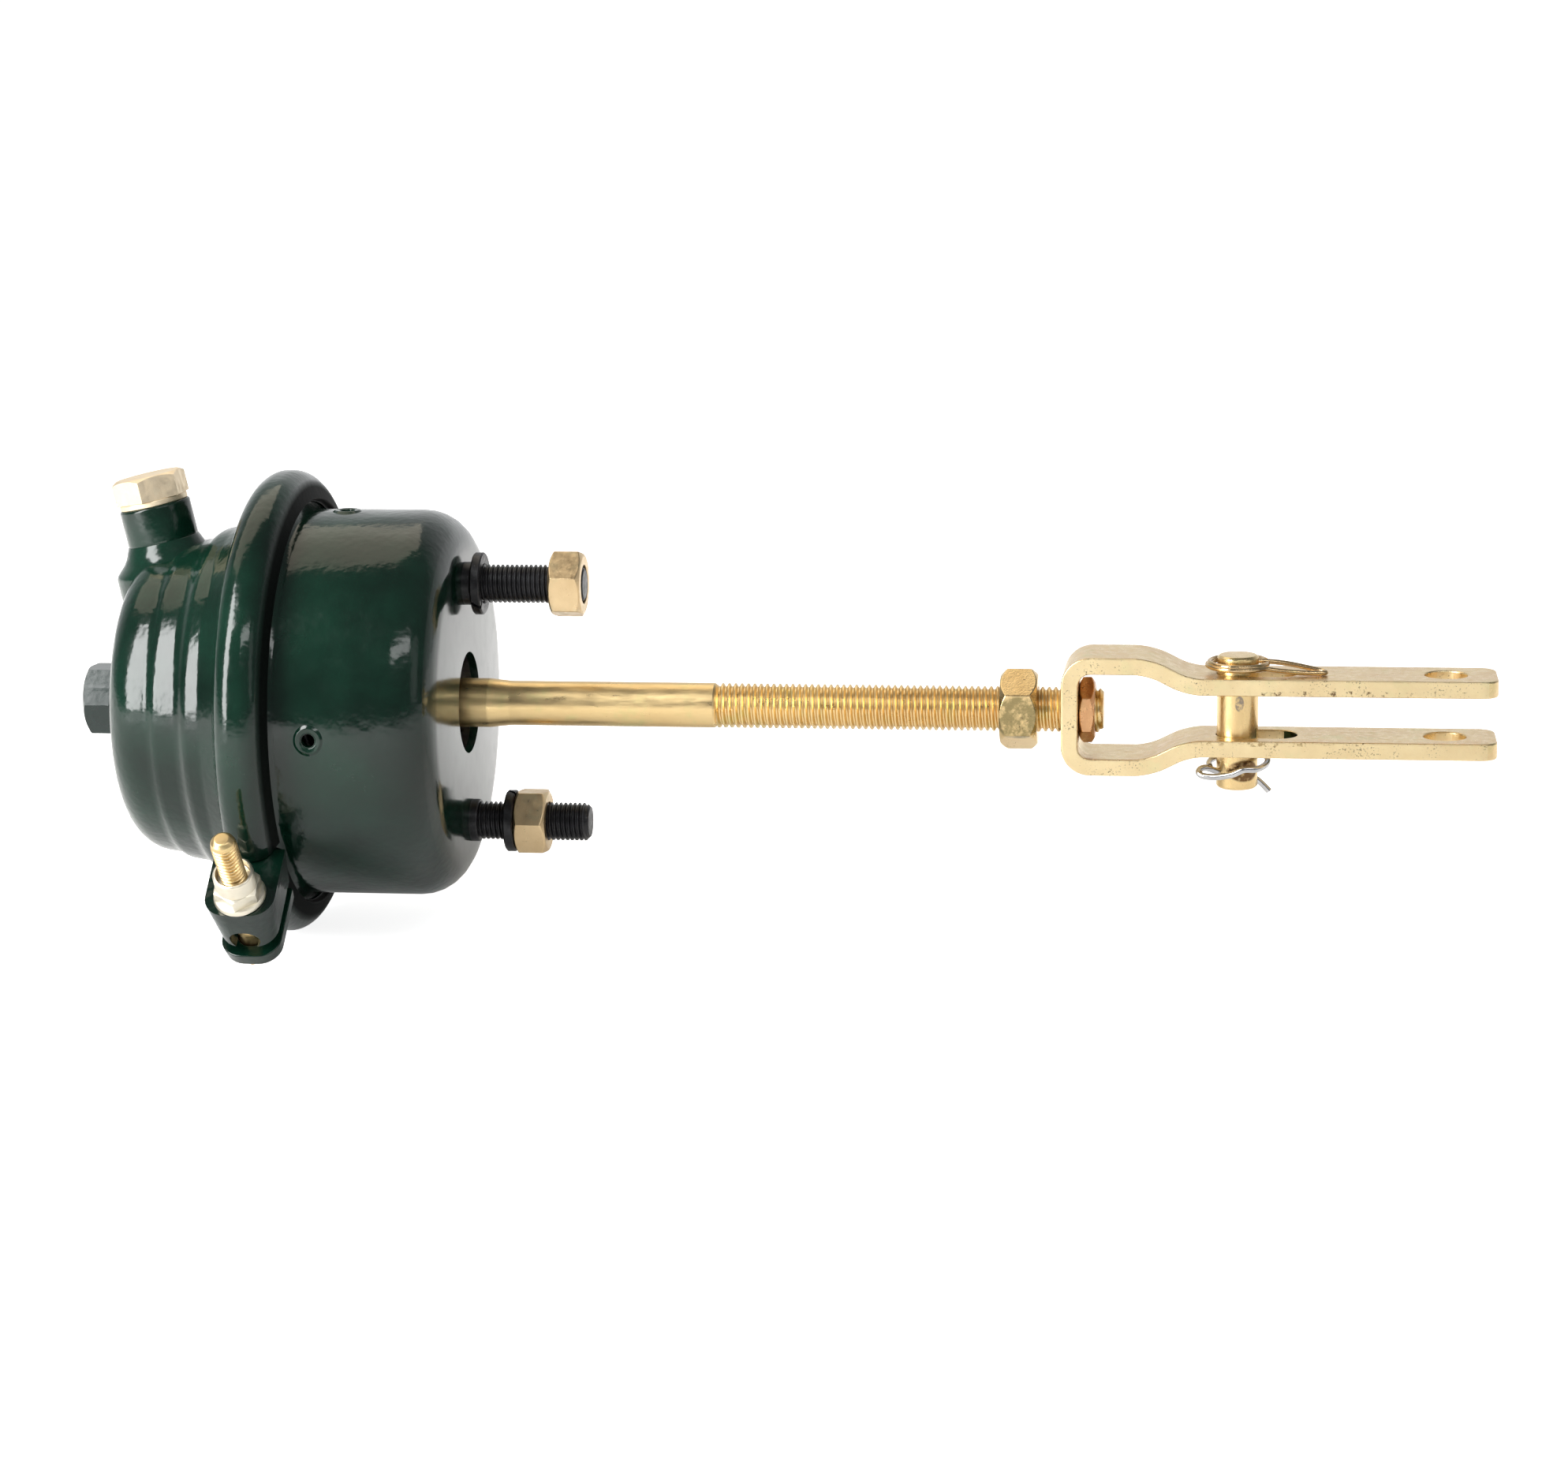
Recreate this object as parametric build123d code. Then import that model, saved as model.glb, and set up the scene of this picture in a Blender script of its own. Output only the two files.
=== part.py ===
from build123d import *
import math
import os

# Air brake chamber, type 12, with a push rod and a long yoke. Millimetres.
# The origin is the centre of the mounting face of the non-pressure housing. +X runs out along
# the push rod, +Z is up and the two mounting studs stand one above the other.

# ---- driving dimensions ----
seat_gap = 0.1            # between pieces that are seated on each other
air_gap = 0.3             # between soft or pressed pieces that lie side by side
sheet = 2.5               # steel sheet of both housings

# non-pressure housing
housing_corner = 14.0     # outer bend radius at the mounting face
rod_hole_r = 16.0
vent_r = 2.6
vent_rim_r = 4.6
vent_rim_height = 0.7
vent_rim_crest = 0.6      # rim's flat top outside the vent
vent_x = -37.0            # vents lie on this plane, a quarter turn apart

# clamp band and the flanges that it grips
clamp_x = -57.0           # plane between the two flanges
flange_width = 7.85       # each flange stands out this far from the housing wall
band_lip_reach = 3.25     # the band's lips stand this far outside the housing wall
band_crest_reach = 4.4    # the band's crest stands this far outside the flanges
band_half_width = 8.75    # at the lips
band_flank = 21.0         # degrees between a flank and the radial direction
band_crest_bend = 6.5
band_sheet = 2.6
flange_bend = 3.5         # between the housing wall and its flange
flange_gap = 0.2          # between band and flanges

# pressure cap
cap_depth = 48.5          # from the clamp plane to the closed end
cap_corner = 12.0
cap_root_inset = 0.35     # cap wall at its flange, inside the other housing's wall
cap_draft = 13.6          # the wall comes in this far from the flange to the closed end
cap_steps = [(15.0, 2.0), (17.5, 3.6), (25.0, 4.8), (28.0, 7.6), (33.0, 8.8)]  # along, outwards
cap_step_bend = 3.1
cap_root_bend = 3.6
cap_bore_r = 7.0          # air passage under each port boss

# ports
centre_boss_r = 13.0
centre_boss_height = 6.5
port_thread_r = 8.0
side_boss_r = 11.2
side_boss_lean = 12.0     # degrees from upright, towards the closed end
side_boss_height = 11.5   # above its pad
side_boss_inset = 19.6    # from the closed end to where the boss's axis meets the chamber's
side_pad_rise = 6.2       # pad's top above the wall radius at the closed end
side_pad_r = 17.2
side_pad_waist_r = 13.2
side_pad_waist_drop = 4.6  # waist of the flared pad, below its top
side_pad_rim_drop = 8.6   # rim of the pad, below its top
side_pad_rim_bend = 2.6
side_pad_waist_bend = 9.0
side_pad_depth = 24.0     # from the pad's top to its foot, which lies within the bowl
plug_across_flats = 20.6
plug_hex_height = 7.6
plug_collar_height = 1.8
plug_thread_length = 8.0
plug_collar_lip = 0.4     # collar outside the flats
centre_plug_hex_height = 9.0
boss_chamfer = 1.1
hex_face_share = 0.96     # round end face of every nut and head, as a share of its flats

# mounting studs
stud_spacing = 76.2
stud_thread_r = 6.0
stud_length = 38.0        # free length from the mounting face
stud_neck_r = 6.75
stud_neck_length = 2.6
stud_head_r = 8.0
stud_head_height = 4.5
stud_plate_thickness = 4.0
stud_plate_rim = 1.6      # plate beyond the studs' necks
stud_plate_bore_gap = 1.0  # plate's bore outside the rod opening
stud_plate_half_width = 28.0
washer_r = 9.75
washer_thickness = 3.0
washer_split = 1.3
upper_washer_x = 3.1
lower_washer_x = 11.4
stud_nut_across_flats = 19.0
stud_nut_height = 10.2
stud_chamfer = 1.2
nut_bore_chamfer = 0.6
upper_nut_x = 27.6
upper_nut_turn = 42.0     # degrees about its stud
lower_nut_turn = 55.0
washer_turn = 60.0        # where the splits of the washers stand
washer_slant = 30.0
washer_chamfer = 0.3

# diaphragm, push plate and spring
rubber = 3.0
bead_depth = 6.0          # bead between the flanges, in from their rim
bead_rim = 1.0            # bead's outside, in from the flanges' rim
lining_slack = (0.8, 1.6, 2.6)  # lining off the cap's wall at its end and at its two steps
lining_lip = (1.5, 1.4)   # lining off the clamp plane and the housing wall where it turns out to the bead
lining_bend = 4.0
push_plate_r = 33.0
push_plate_thickness = 3.0
push_plate_rim_bend = 5.0
push_plate_rim_depth = 5.0
push_plate_rim_flare = 1.0
plate_hub_r = 12.0
plate_hub_height = 7.0
plate_hub_chamfer = 2.5
spring_wire_r = 2.0
spring_large_r = 22.5
spring_small_r = 15.5
spring_turns = 5.5

# push rod
rod_r = 7.0
rod_root_r = 7.7
rod_root_end_x = 7.0
rod_taper_end_x = 14.0
rod_thread_x = 78.0
rod_thread_r = 6.95
rod_thread_runout = 1.0
rod_end_chamfer = 1.2
rod_end_reach = 2.5       # rod's end beyond the lock nut
jam_nut_to_yoke = 7.5
jam_nut_across_flats = 22.0
jam_nut_height = 11.6
lock_nut_across_flats = 18.0
lock_nut_height = 4.9

# yoke
strap = 5.2
yoke_width = 24.0
yoke_web_x = 187.1        # outer face of the web
yoke_length = 132.4
yoke_box_height = 36.8
yoke_leg_height = 24.4    # over the outer faces of the parallel legs
yoke_web_bend = 9.0
yoke_bend = 22.0
yoke_box_length = 27.4    # from the web to where the strap bends in
yoke_bend_run = 12.2      # from there to where the legs run parallel
yoke_tip_bend = 5.0
yoke_slot_length = 24.8
yoke_slot_offset = 7.7    # from the end of the bend
yoke_hole_r = 6.5
yoke_hole_to_end = 15.5

# clevis pin and its two wire clips
pin_r = 6.35
pin_above = 5.6
pin_below = 11.5
pin_chamfer = 1.2
pin_slot_clearance = 0.15
clip_wire_r = 1.0
clip_hole_r = 1.25
clip_ring_r = 9.6
clip_reach = 27.0
clip_return_offset = 2.6  # the ring lies this far from the straight leg's plane
clip_bend = 2.6
clip_leg_reach = 2.0      # straight leg beyond the pin
clip_tail_bend = 3.0
clip_ring_join = 40.0     # degrees about the pin where the hairpin runs into the ring
clip_ring_end = 335.0
lower_clip_tail = (-3.5, -4.0, 5.5)  # the lower clip's leg is bent aside there by this much
lower_clip_drop = 6.4
lower_clip_turn = 243.0   # degrees about the pin, from +X to the lower hairpin
lower_clip_tilt = 4.0     # degrees about its leg
lower_clip_rise = 12.0    # degrees that its hairpin is lifted

# clamp bolt and lug
lug_angle = 51.0          # degrees from straight down towards the vent side
band_split = 3.0
split_place = -8.5        # places along the bolt count from its point nearest the chamber's axis
nut_seat_place = 9.5
head_seat_place = -13.2
head_hood_place = -19.0
bolt_tip_place = 37.5
bolt_to_band = 3.2        # between the clamp nut's flange and the band's crest
bolt_r = 4.0
bolt_head_height = 5.0
bolt_tip_round = 2.8
ear_sheet = 3.0
ear_flare = 1.4           # the ears widen by this from the split to their seats
ear_neck_half_width = 9.6
ear_lip = 1.2             # ear outside the clamp nut's flange
ear_neck_drop = 7.6       # from the bolt's axis to the outside of the ears at the split
ear_corner = 7.0
ear_hole_clearance = 0.5
ear_window_r = 4.1
ear_window_length = 9.4
ear_window_drop = 13.6    # window's middle, from the nut's seat
clamp_nut_across_flats = 13.0
clamp_nut_hex_height = 4.6
clamp_nut_flange_r = 8.2
clamp_nut_flange_height = 1.6
clamp_nut_collar_r = 6.4
clamp_nut_collar_height = 5.4
clamp_nut_flange_chamfer = 0.5
clamp_nut_collar_chamfer = 0.8
clamp_nut_counterbore = 2.5
clamp_nut_counterbore_gap = 1.2  # counterbore's wall outside the thread

# ---- values worked out from them ----
stud_plate_half_length = stud_spacing / 2 + stud_neck_r + stud_plate_rim
housing_r = stud_plate_half_length + air_gap + housing_corner  # outside of the cylindrical wall
flange_r = housing_r + flange_width
band_lip_r = housing_r + band_lip_reach
band_r = flange_r + band_crest_reach
flank_slope = math.tan(math.radians(band_flank))
cap_flange_root_r = housing_r - cap_root_inset
cap_end_wall_r = cap_flange_root_r - cap_draft  # wall radius where it leaves the closed end
cap_end_x = clamp_x - cap_depth
side_pad_top = cap_end_wall_r + side_pad_rise   # along the boss's own axis
side_boss_top = side_pad_top + side_boss_height
bead_r = flange_r - bead_depth
plate_back_x = cap_end_x + sheet + air_gap + rubber + air_gap
plate_front_x = plate_back_x + push_plate_thickness
lower_nut_x = lower_washer_x + washer_thickness + seat_gap
yoke_inner_x = yoke_web_x + strap
yoke_end_x = yoke_web_x + yoke_length
yoke_bend_start_x = yoke_web_x + yoke_box_length
yoke_bend_end_x = yoke_bend_start_x + yoke_bend_run
yoke_slot_start_x = yoke_bend_end_x + yoke_slot_offset
yoke_hole_x = yoke_end_x - yoke_hole_to_end
jam_nut_x = yoke_web_x - jam_nut_to_yoke - jam_nut_height
rod_end_x = yoke_inner_x + seat_gap + lock_nut_height + rod_end_reach
pin_x = yoke_slot_start_x + pin_r + pin_slot_clearance
bolt_axis_r = band_r + bolt_to_band + clamp_nut_flange_r
ear_half_width = clamp_nut_flange_r + ear_lip + ear_flare  # at the seats
ear_drop = clamp_nut_flange_r + ear_lip
head_ear_room = clamp_nut_across_flats / 2 / math.cos(math.pi / 6) + air_gap + ear_sheet


def flange_outer_x(radius):
    """Distance from the clamp plane to a flange's outer face."""
    lip_drop = (radius - band_lip_r) * flank_slope
    return band_half_width - lip_drop - (band_sheet + flange_gap) / math.cos(math.radians(band_flank))


# ---- helpers ----
standing = (Align.CENTER, Align.CENTER, Align.MIN)  # a solid that stands on the XY plane


def offset_corners(corners, distance):
    """The same cornered line set off to its right by a distance, with matching bend radii."""
    points = [Vector(x, r) for x, r, bend in corners]
    normals = []
    for start, end in zip(points, points[1:]):
        along = (end - start).normalized()
        normals.append(Vector(along.Y, -along.X))
    moved = [(points[0] + normals[0] * distance, 0)]
    for i in range(1, len(points) - 1):
        before = normals[i - 1]
        after = normals[i]
        middle = (before + after).normalized()
        reach = distance / middle.dot(after)
        turn_right = before.X * after.Y - before.Y * after.X < 0
        bend = corners[i][2] - distance if turn_right else corners[i][2] + distance
        moved.append((points[i] + middle * reach, max(bend, 0.2)))
    moved.append((points[-1] + normals[-1] * distance, 0))
    return [(p.X, p.Y, bend) for p, bend in moved]


def bent_line(corners):
    """A line through the corners, with an arc at each inner one."""
    points = [(x, r) for x, r, bend in corners]
    return FilletPolyline(*points, radius=[bend for x, r, bend in corners[1:-1]])


def sheet_section(corners, thickness):
    """Section of a bent sheet: the cornered line and its copy, joined at both ends."""
    outer = bent_line(corners)
    inner = bent_line(offset_corners(corners, thickness))
    start = Line(outer @ 0, inner @ 0)
    end = Line(outer @ 1, inner @ 1)
    return make_face(outer.edges() + inner.edges() + start.edges() + end.edges())


def solid_under(corners):
    """The solid that a cornered line encloses when it is closed down to the X axis and turned."""
    ends = Polyline(corners[-1][:2], (corners[-1][0], 0), (corners[0][0], 0)).edges()
    if corners[0][1] > 0:
        ends += Line((corners[0][0], 0), corners[0][:2]).edges()
    return turned(make_face(bent_line(corners).edges() + ends))


def turned(section):
    """A section drawn as (x, radius) and turned a full circle about the X axis."""
    return revolve(Plane.XZ * section, axis=Axis.X)


def rod_along_x(radius, start, end, y=0.0, z=0.0):
    plane = Plane(origin=(start, y, z), x_dir=(0, 1, 0), z_dir=(1, 0, 0))
    return extrude(plane * Circle(radius), end - start)


def stepped_turning(steps, chamfer_start=0.0, chamfer_end=0.0):
    """A turned solid about its own axis +X from (x, radius) pairs, each radius held to the next x."""
    points = [(steps[0][0], 0)]
    for (x, radius), (next_x, _) in zip(steps, steps[1:]):
        points += [(x, radius), (next_x, radius)]
    points.append((steps[-1][0], 0))
    solid = turned(make_face(Polyline(*points, close=True).edges()))
    for face_axis, size in ((Axis.X, chamfer_end), (-Axis.X, chamfer_start)):
        if size:
            solid = chamfer(solid.faces().sort_by(face_axis)[-1].edges(), size)
    return solid


def hex_prism(across_flats, start, end, crown=True, base_crown=True):
    """A hexagon about the X axis with its corners turned off at 30 degrees."""
    plane = Plane(origin=(start, 0, 0), x_dir=(0, 1, 0), z_dir=(1, 0, 0))
    corner_r = across_flats / 2 / math.cos(math.pi / 6)
    prism = extrude(plane * RegularPolygon(corner_r, 6), end - start)
    face_r = across_flats / 2 * hex_face_share
    drop = (corner_r - face_r) * math.tan(math.pi / 6)
    first_r = face_r if base_crown else corner_r
    last_r = face_r if crown else corner_r
    outline = [(start, 0), (start, first_r)]
    if base_crown:
        outline.append((start + drop, corner_r))
    if crown:
        outline.append((end - drop, corner_r))
    outline += [(end, last_r), (end, 0)]
    return prism & turned(make_face(Polyline(*outline, close=True).edges()))


def hex_nut(across_flats, height, bore_r):
    """A chamfered nut from x = 0 to its height, with its bore opened at both ends."""
    nut = hex_prism(across_flats, 0, height) - rod_along_x(bore_r, -1, height + 1)
    return chamfer(nut.edges().filter_by(GeomType.CIRCLE).sort_by(SortBy.RADIUS)[:2], nut_bore_chamfer)


def on_stud(shape, x, side):
    return Pos(x, 0, side * stud_spacing / 2) * shape


# ---- housings ----
def flange_corner(side):
    """Where a flange's outer face meets the housing wall's radius, and its rim."""
    return [(clamp_x + side * flange_outer_x(housing_r), housing_r, flange_bend),
            (clamp_x + side * flange_outer_x(flange_r), flange_r, 0)]


def housing_line():
    return [(0, rod_hole_r, 0), (0, housing_r, housing_corner)] + flange_corner(1)


def make_non_pressure_housing():
    housing = turned(sheet_section(housing_line(), -sheet))
    for quarter in range(4):
        rim = Cone(vent_rim_r, vent_r + vent_rim_crest, vent_rim_height + sheet / 2, align=standing)
        rim = Pos(vent_x, 0, housing_r - sheet / 2) * rim
        hole = Pos(vent_x, 0, housing_r) * Cylinder(vent_r, 4 * sheet)
        housing = housing + Rot(X=90 * quarter) * rim - Rot(X=90 * quarter) * hole
    for side in (-1, 1):
        housing -= on_stud(rod_along_x(stud_neck_r + seat_gap / 2, -2 * sheet, sheet), 0, side)
    return housing


def cap_line():
    """The cap's outer line from the closed end to the flange, with its two shallow steps."""
    steps = [(cap_end_x + along, cap_end_wall_r + out, cap_step_bend) for along, out in cap_steps]
    return [(cap_end_x, 0, 0), (cap_end_x, cap_end_wall_r, cap_corner)] + steps + [
            (clamp_x - flange_outer_x(cap_flange_root_r), cap_flange_root_r, cap_root_bend),
            (clamp_x - flange_outer_x(flange_r), flange_r, 0)]


side_boss_place = Pos(cap_end_x + side_boss_inset, 0, 0) * Rot(Y=-side_boss_lean)


def side_pad_line():
    """Outline of the stamped pad along the boss's axis: a straight rim, then a flare up to the boss."""
    waist = side_pad_top - side_pad_waist_drop
    return [(side_pad_top - side_pad_depth, side_pad_r, 0),
            (side_pad_top - side_pad_rim_drop, side_pad_r, side_pad_rim_bend),
            (waist, side_pad_waist_r, side_pad_waist_bend), (side_pad_top, side_boss_r, 0)]


def make_pressure_housing():
    """Drawn bowl with its steps, the stamped pad of the side port, and both air passages."""
    stand = side_boss_place * Rot(Y=-90)
    cap = solid_under(cap_line()) + stand * solid_under(side_pad_line())
    cap -= solid_under(offset_corners(cap_line(), sheet))
    cap -= stand * solid_under(offset_corners(side_pad_line(), sheet))
    cap -= side_boss_place * Pos(0, 0, side_pad_top) * Cylinder(cap_bore_r, side_pad_depth)
    return cap - rod_along_x(cap_bore_r, cap_end_x - sheet, cap_end_x + 2 * sheet)


def make_centre_port_boss():
    top = cap_end_x - centre_boss_height
    boss = rod_along_x(centre_boss_r, top, cap_end_x)
    boss = chamfer(boss.faces().sort_by(Axis.X)[0].edges(), boss_chamfer)
    return boss - rod_along_x(port_thread_r, top - 1, cap_end_x + 1)


def make_side_port_boss():
    boss = Pos(0, 0, side_pad_top + side_boss_height / 2) * Cylinder(side_boss_r, side_boss_height)
    boss = chamfer(boss.faces().sort_by(Axis.Z)[-1].edges(), boss_chamfer)
    bore = Pos(0, 0, side_boss_top) * Cylinder(port_thread_r, 4 * side_boss_height)
    return side_boss_place * (boss - bore)


def port_plug(hex_height, thread_length):
    """A plug about +X whose collar seats at x = 0 and whose thread reaches back from there."""
    thread_r = port_thread_r - seat_gap / 2
    collar_r = plug_across_flats / 2 + plug_collar_lip
    plug = stepped_turning([(-thread_length, thread_r), (0, collar_r), (plug_collar_height, 0)],
                           chamfer_start=boss_chamfer)
    top = plug_collar_height + hex_height
    return plug + hex_prism(plug_across_flats, plug_collar_height, top, base_crown=False)


def make_centre_port_plug():
    plug = port_plug(centre_plug_hex_height, centre_boss_height - air_gap)
    return Pos(cap_end_x - centre_boss_height, 0, 0) * Rot(Z=180) * plug


def make_side_port_plug():
    plug = port_plug(plug_hex_height, plug_thread_length)
    return side_boss_place * Pos(0, 0, side_boss_top) * Rot(Y=-90) * plug


# ---- inside ----
def make_diaphragm():
    """Rubber lining of the cap, moulded with a wedge bead that the flanges grip."""
    back_x = cap_end_x + sheet + air_gap
    gap = sheet + air_gap
    rim_r = flange_r - bead_rim
    inner_half = flange_outer_x(rim_r) - (sheet + air_gap) / math.cos(math.radians(band_flank))
    wide_half = flange_outer_x(bead_r) - (sheet + air_gap) / math.cos(math.radians(band_flank))
    lining = [(back_x, 0, 0), (back_x, cap_end_wall_r - gap - lining_slack[0], cap_corner - gap)]
    for (along, out), slack in zip(cap_steps[2::2], lining_slack[1:]):
        lining.append((cap_end_x + along, cap_end_wall_r + out - gap - slack, lining_bend))
    lip_x, lip_r = lining_lip
    lining.append((clamp_x - lip_x, housing_r - sheet - lip_r, lining_bend))
    lining.append((clamp_x - lip_x / 3, bead_r + bead_rim, 0))
    cup = turned(sheet_section(lining, rubber))
    bead = [(clamp_x - wide_half, bead_r), (clamp_x - inner_half, rim_r),
            (clamp_x + inner_half, rim_r), (clamp_x + wide_half, bead_r)]
    return cup + turned(make_face(Polyline(*bead, close=True).edges()))


def make_push_plate():
    line = [(plate_front_x, 0, 0), (plate_front_x, push_plate_r, push_plate_rim_bend),
            (plate_front_x + push_plate_rim_depth, push_plate_r + push_plate_rim_flare, 0)]
    plate = turned(sheet_section(line, -push_plate_thickness))
    hub = rod_along_x(plate_hub_r, plate_front_x, plate_front_x + plate_hub_height)
    hub = chamfer(hub.faces().sort_by(Axis.X)[-1].edges(), plate_hub_chamfer)
    socket = rod_along_x(rod_root_r + seat_gap / 2, plate_front_x, plate_front_x + plate_hub_height + 1)
    return plate + hub - socket


def make_return_spring():
    start = plate_front_x + spring_wire_r + air_gap
    end = -sheet - stud_plate_thickness - spring_wire_r - air_gap
    height = end - start
    cone_angle = math.degrees(math.atan((spring_large_r - spring_small_r) / height))
    path = Helix(height / spring_turns, height, spring_small_r, cone_angle=cone_angle)
    section = Plane(origin=path @ 0, z_dir=path % 0) * Circle(spring_wire_r)
    spring = sweep(section, path=path, is_frenet=True)
    return Pos(start, 0, 0) * Rot(Y=90) * spring


# ---- studs ----
def make_stud_plate():
    back_x = -sheet - stud_plate_thickness
    plane = Plane(origin=(back_x, 0, 0), x_dir=(0, 1, 0), z_dir=(1, 0, 0))
    blank = SlotOverall(2 * stud_plate_half_length, 2 * stud_plate_half_width, rotation=90)
    plate = extrude(plane * blank, stud_plate_thickness)
    plate -= rod_along_x(rod_hole_r + stud_plate_bore_gap, back_x - 1, 0)
    for side in (-1, 1):
        plate -= on_stud(rod_along_x(stud_neck_r + seat_gap / 2, back_x - 1, 0), 0, side)
    return plate


def make_mounting_stud(side):
    head_x = -sheet - stud_plate_thickness
    stud = stepped_turning([(head_x - stud_head_height, stud_head_r), (head_x, stud_neck_r),
                            (stud_neck_length, stud_thread_r), (stud_length, 0)], chamfer_end=stud_chamfer)
    return on_stud(stud, 0, side)


def make_stud_washer(x, side):
    """Spring lock washer, with its slanted split."""
    washer = rod_along_x(washer_r, 0, washer_thickness)
    washer = chamfer(washer.edges().filter_by(GeomType.CIRCLE), washer_chamfer)
    washer -= rod_along_x(stud_thread_r + 2 * seat_gap, -1, washer_thickness + 1)
    cutter = Box(4 * washer_thickness, washer_split, 2 * washer_r)
    split = Pos(washer_thickness / 2, 0, washer_r) * Rot(Z=washer_slant) * cutter
    return on_stud(Rot(X=side * washer_turn) * (washer - split), x, side)


def make_stud_nut(x, side, turn):
    nut = Rot(X=turn) * hex_nut(stud_nut_across_flats, stud_nut_height, stud_thread_r + seat_gap / 2)
    return on_stud(nut, x, side)


# ---- push rod ----
def make_push_rod():
    outline = [(plate_front_x, 0), (plate_front_x, rod_root_r), (rod_root_end_x, rod_root_r),
               (rod_taper_end_x, rod_r), (rod_thread_x, rod_r),
               (rod_thread_x + rod_thread_runout, rod_thread_r),
               (rod_end_x - rod_end_chamfer, rod_thread_r),
               (rod_end_x, rod_thread_r - rod_end_chamfer), (rod_end_x, 0)]
    return turned(make_face(Polyline(*outline, close=True).edges()))


def make_rod_jam_nut():
    nut = hex_nut(jam_nut_across_flats, jam_nut_height, rod_thread_r + seat_gap / 2)
    return Pos(jam_nut_x, 0, 0) * Rot(X=30) * nut


def make_yoke_lock_nut():
    nut = hex_nut(lock_nut_across_flats, lock_nut_height, rod_thread_r + seat_gap / 2)
    return Pos(yoke_inner_x + seat_gap, 0, 0) * Rot(X=30) * nut


def make_clevis_yoke():
    """One strap bent to a box end and two parallel legs."""
    box_z = yoke_box_height / 2
    leg_z = yoke_leg_height / 2
    upper = [(yoke_web_x, 0, 0), (yoke_web_x, box_z, yoke_web_bend),
             (yoke_bend_start_x, box_z, yoke_bend), (yoke_bend_end_x, leg_z, yoke_bend - strap),
             (yoke_end_x, leg_z, 0)]
    half = extrude(Plane.XZ * sheet_section(upper, strap), yoke_width / 2, both=True)
    half = fillet(half.edges().filter_by(Axis.Z).group_by(Axis.X)[-1], yoke_tip_bend)
    slot = SlotOverall(yoke_slot_length, 2 * (pin_r + pin_slot_clearance))
    slot = Pos(yoke_slot_start_x + yoke_slot_length / 2, 0, 0) * extrude(slot, yoke_box_height)
    half -= slot
    half -= Pos(yoke_hole_x, 0, 0) * Cylinder(yoke_hole_r, 2 * yoke_box_height)
    yoke = half + mirror(half, about=Plane.XY)
    return yoke - rod_along_x(rod_thread_r + seat_gap / 2, yoke_web_x - 1, yoke_inner_x + 1)


# ---- pin and clips ----
upper_clip_z = yoke_leg_height / 2 + clip_wire_r + seat_gap
lower_clip_z = -yoke_leg_height / 2 - lower_clip_drop
lower_clip_place = Pos(pin_x, 0, lower_clip_z) * Rot(Z=lower_clip_turn) * Rot(Y=-lower_clip_rise)


def make_clevis_pin():
    bottom = -yoke_leg_height / 2 - pin_below
    top = yoke_leg_height / 2 + pin_above
    pin = Pos(pin_x, 0, bottom) * Cylinder(pin_r, top - bottom, align=standing)
    pin = chamfer(pin.edges().filter_by(GeomType.CIRCLE), pin_chamfer)
    hole = Rot(Y=90) * Cylinder(clip_hole_r, 4 * pin_r)
    pin -= Pos(pin_x, 0, upper_clip_z + clip_return_offset) * hole
    return pin - lower_clip_place * hole


def wire_clip(tail=None):
    """Wire cotter about the pin's axis: a leg through the cross hole, a hairpin and a ring. The leg's
    end is straight, or bent aside by the tail."""
    bend = clip_bend
    leg_end = -pin_r - clip_leg_reach
    turn_x = clip_reach - bend
    if tail:
        tip = Vector(leg_end, 0, 0) + Vector(*tail)
        leg = FilletPolyline(tip, (leg_end, 0, 0), (turn_x, 0, 0), radius=clip_tail_bend)
    else:
        leg = Line((leg_end, 0, 0), (turn_x, 0, 0))
    back_start = Vector(turn_x, 2 * bend, -clip_return_offset / 2)
    turn = ThreePointArc((turn_x, 0, 0), (turn_x + bend, bend, -clip_return_offset / 4), back_start)
    ring_middle = (clip_ring_join + clip_ring_end) / 2
    join, middle, end = [Vector(clip_ring_r, 0, -clip_return_offset).rotate(Axis.Z, angle)
                         for angle in (clip_ring_join, ring_middle, clip_ring_end)]
    ahead = Vector(0, 1, 0).rotate(Axis.Z, clip_ring_join)
    back = Spline(back_start, join, tangents=[Vector(-1, 0, 0), ahead])
    ring = ThreePointArc(join, middle, end)
    wire = Wire(leg.edges() + turn.edges() + back.edges() + ring.edges())
    return sweep(Plane(origin=leg @ 0, z_dir=leg % 0) * Circle(clip_wire_r), path=wire)


def make_upper_pin_clip():
    return Pos(pin_x, 0, upper_clip_z + clip_return_offset) * wire_clip()


def make_lower_pin_clip():
    return lower_clip_place * Rot(X=180 + lower_clip_tilt) * wire_clip(lower_clip_tail)


# ---- clamp band ----
def at_lug(shape):
    """Moves a shape to the lug's place. It is drawn with the chamber's axis at z = 0, the lug
    hanging straight below and the bolt's free end along +Y."""
    return Rot(X=-lug_angle) * Pos(clamp_x, 0, 0) * Rot(Z=180) * shape


def band_line():
    crest_half_width = band_half_width - (band_r - band_lip_r) * flank_slope
    return [(clamp_x + band_half_width, band_lip_r, 0),
            (clamp_x + crest_half_width, band_r, band_crest_bend),
            (clamp_x - crest_half_width, band_r, band_crest_bend),
            (clamp_x - band_half_width, band_lip_r, 0)]


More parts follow.
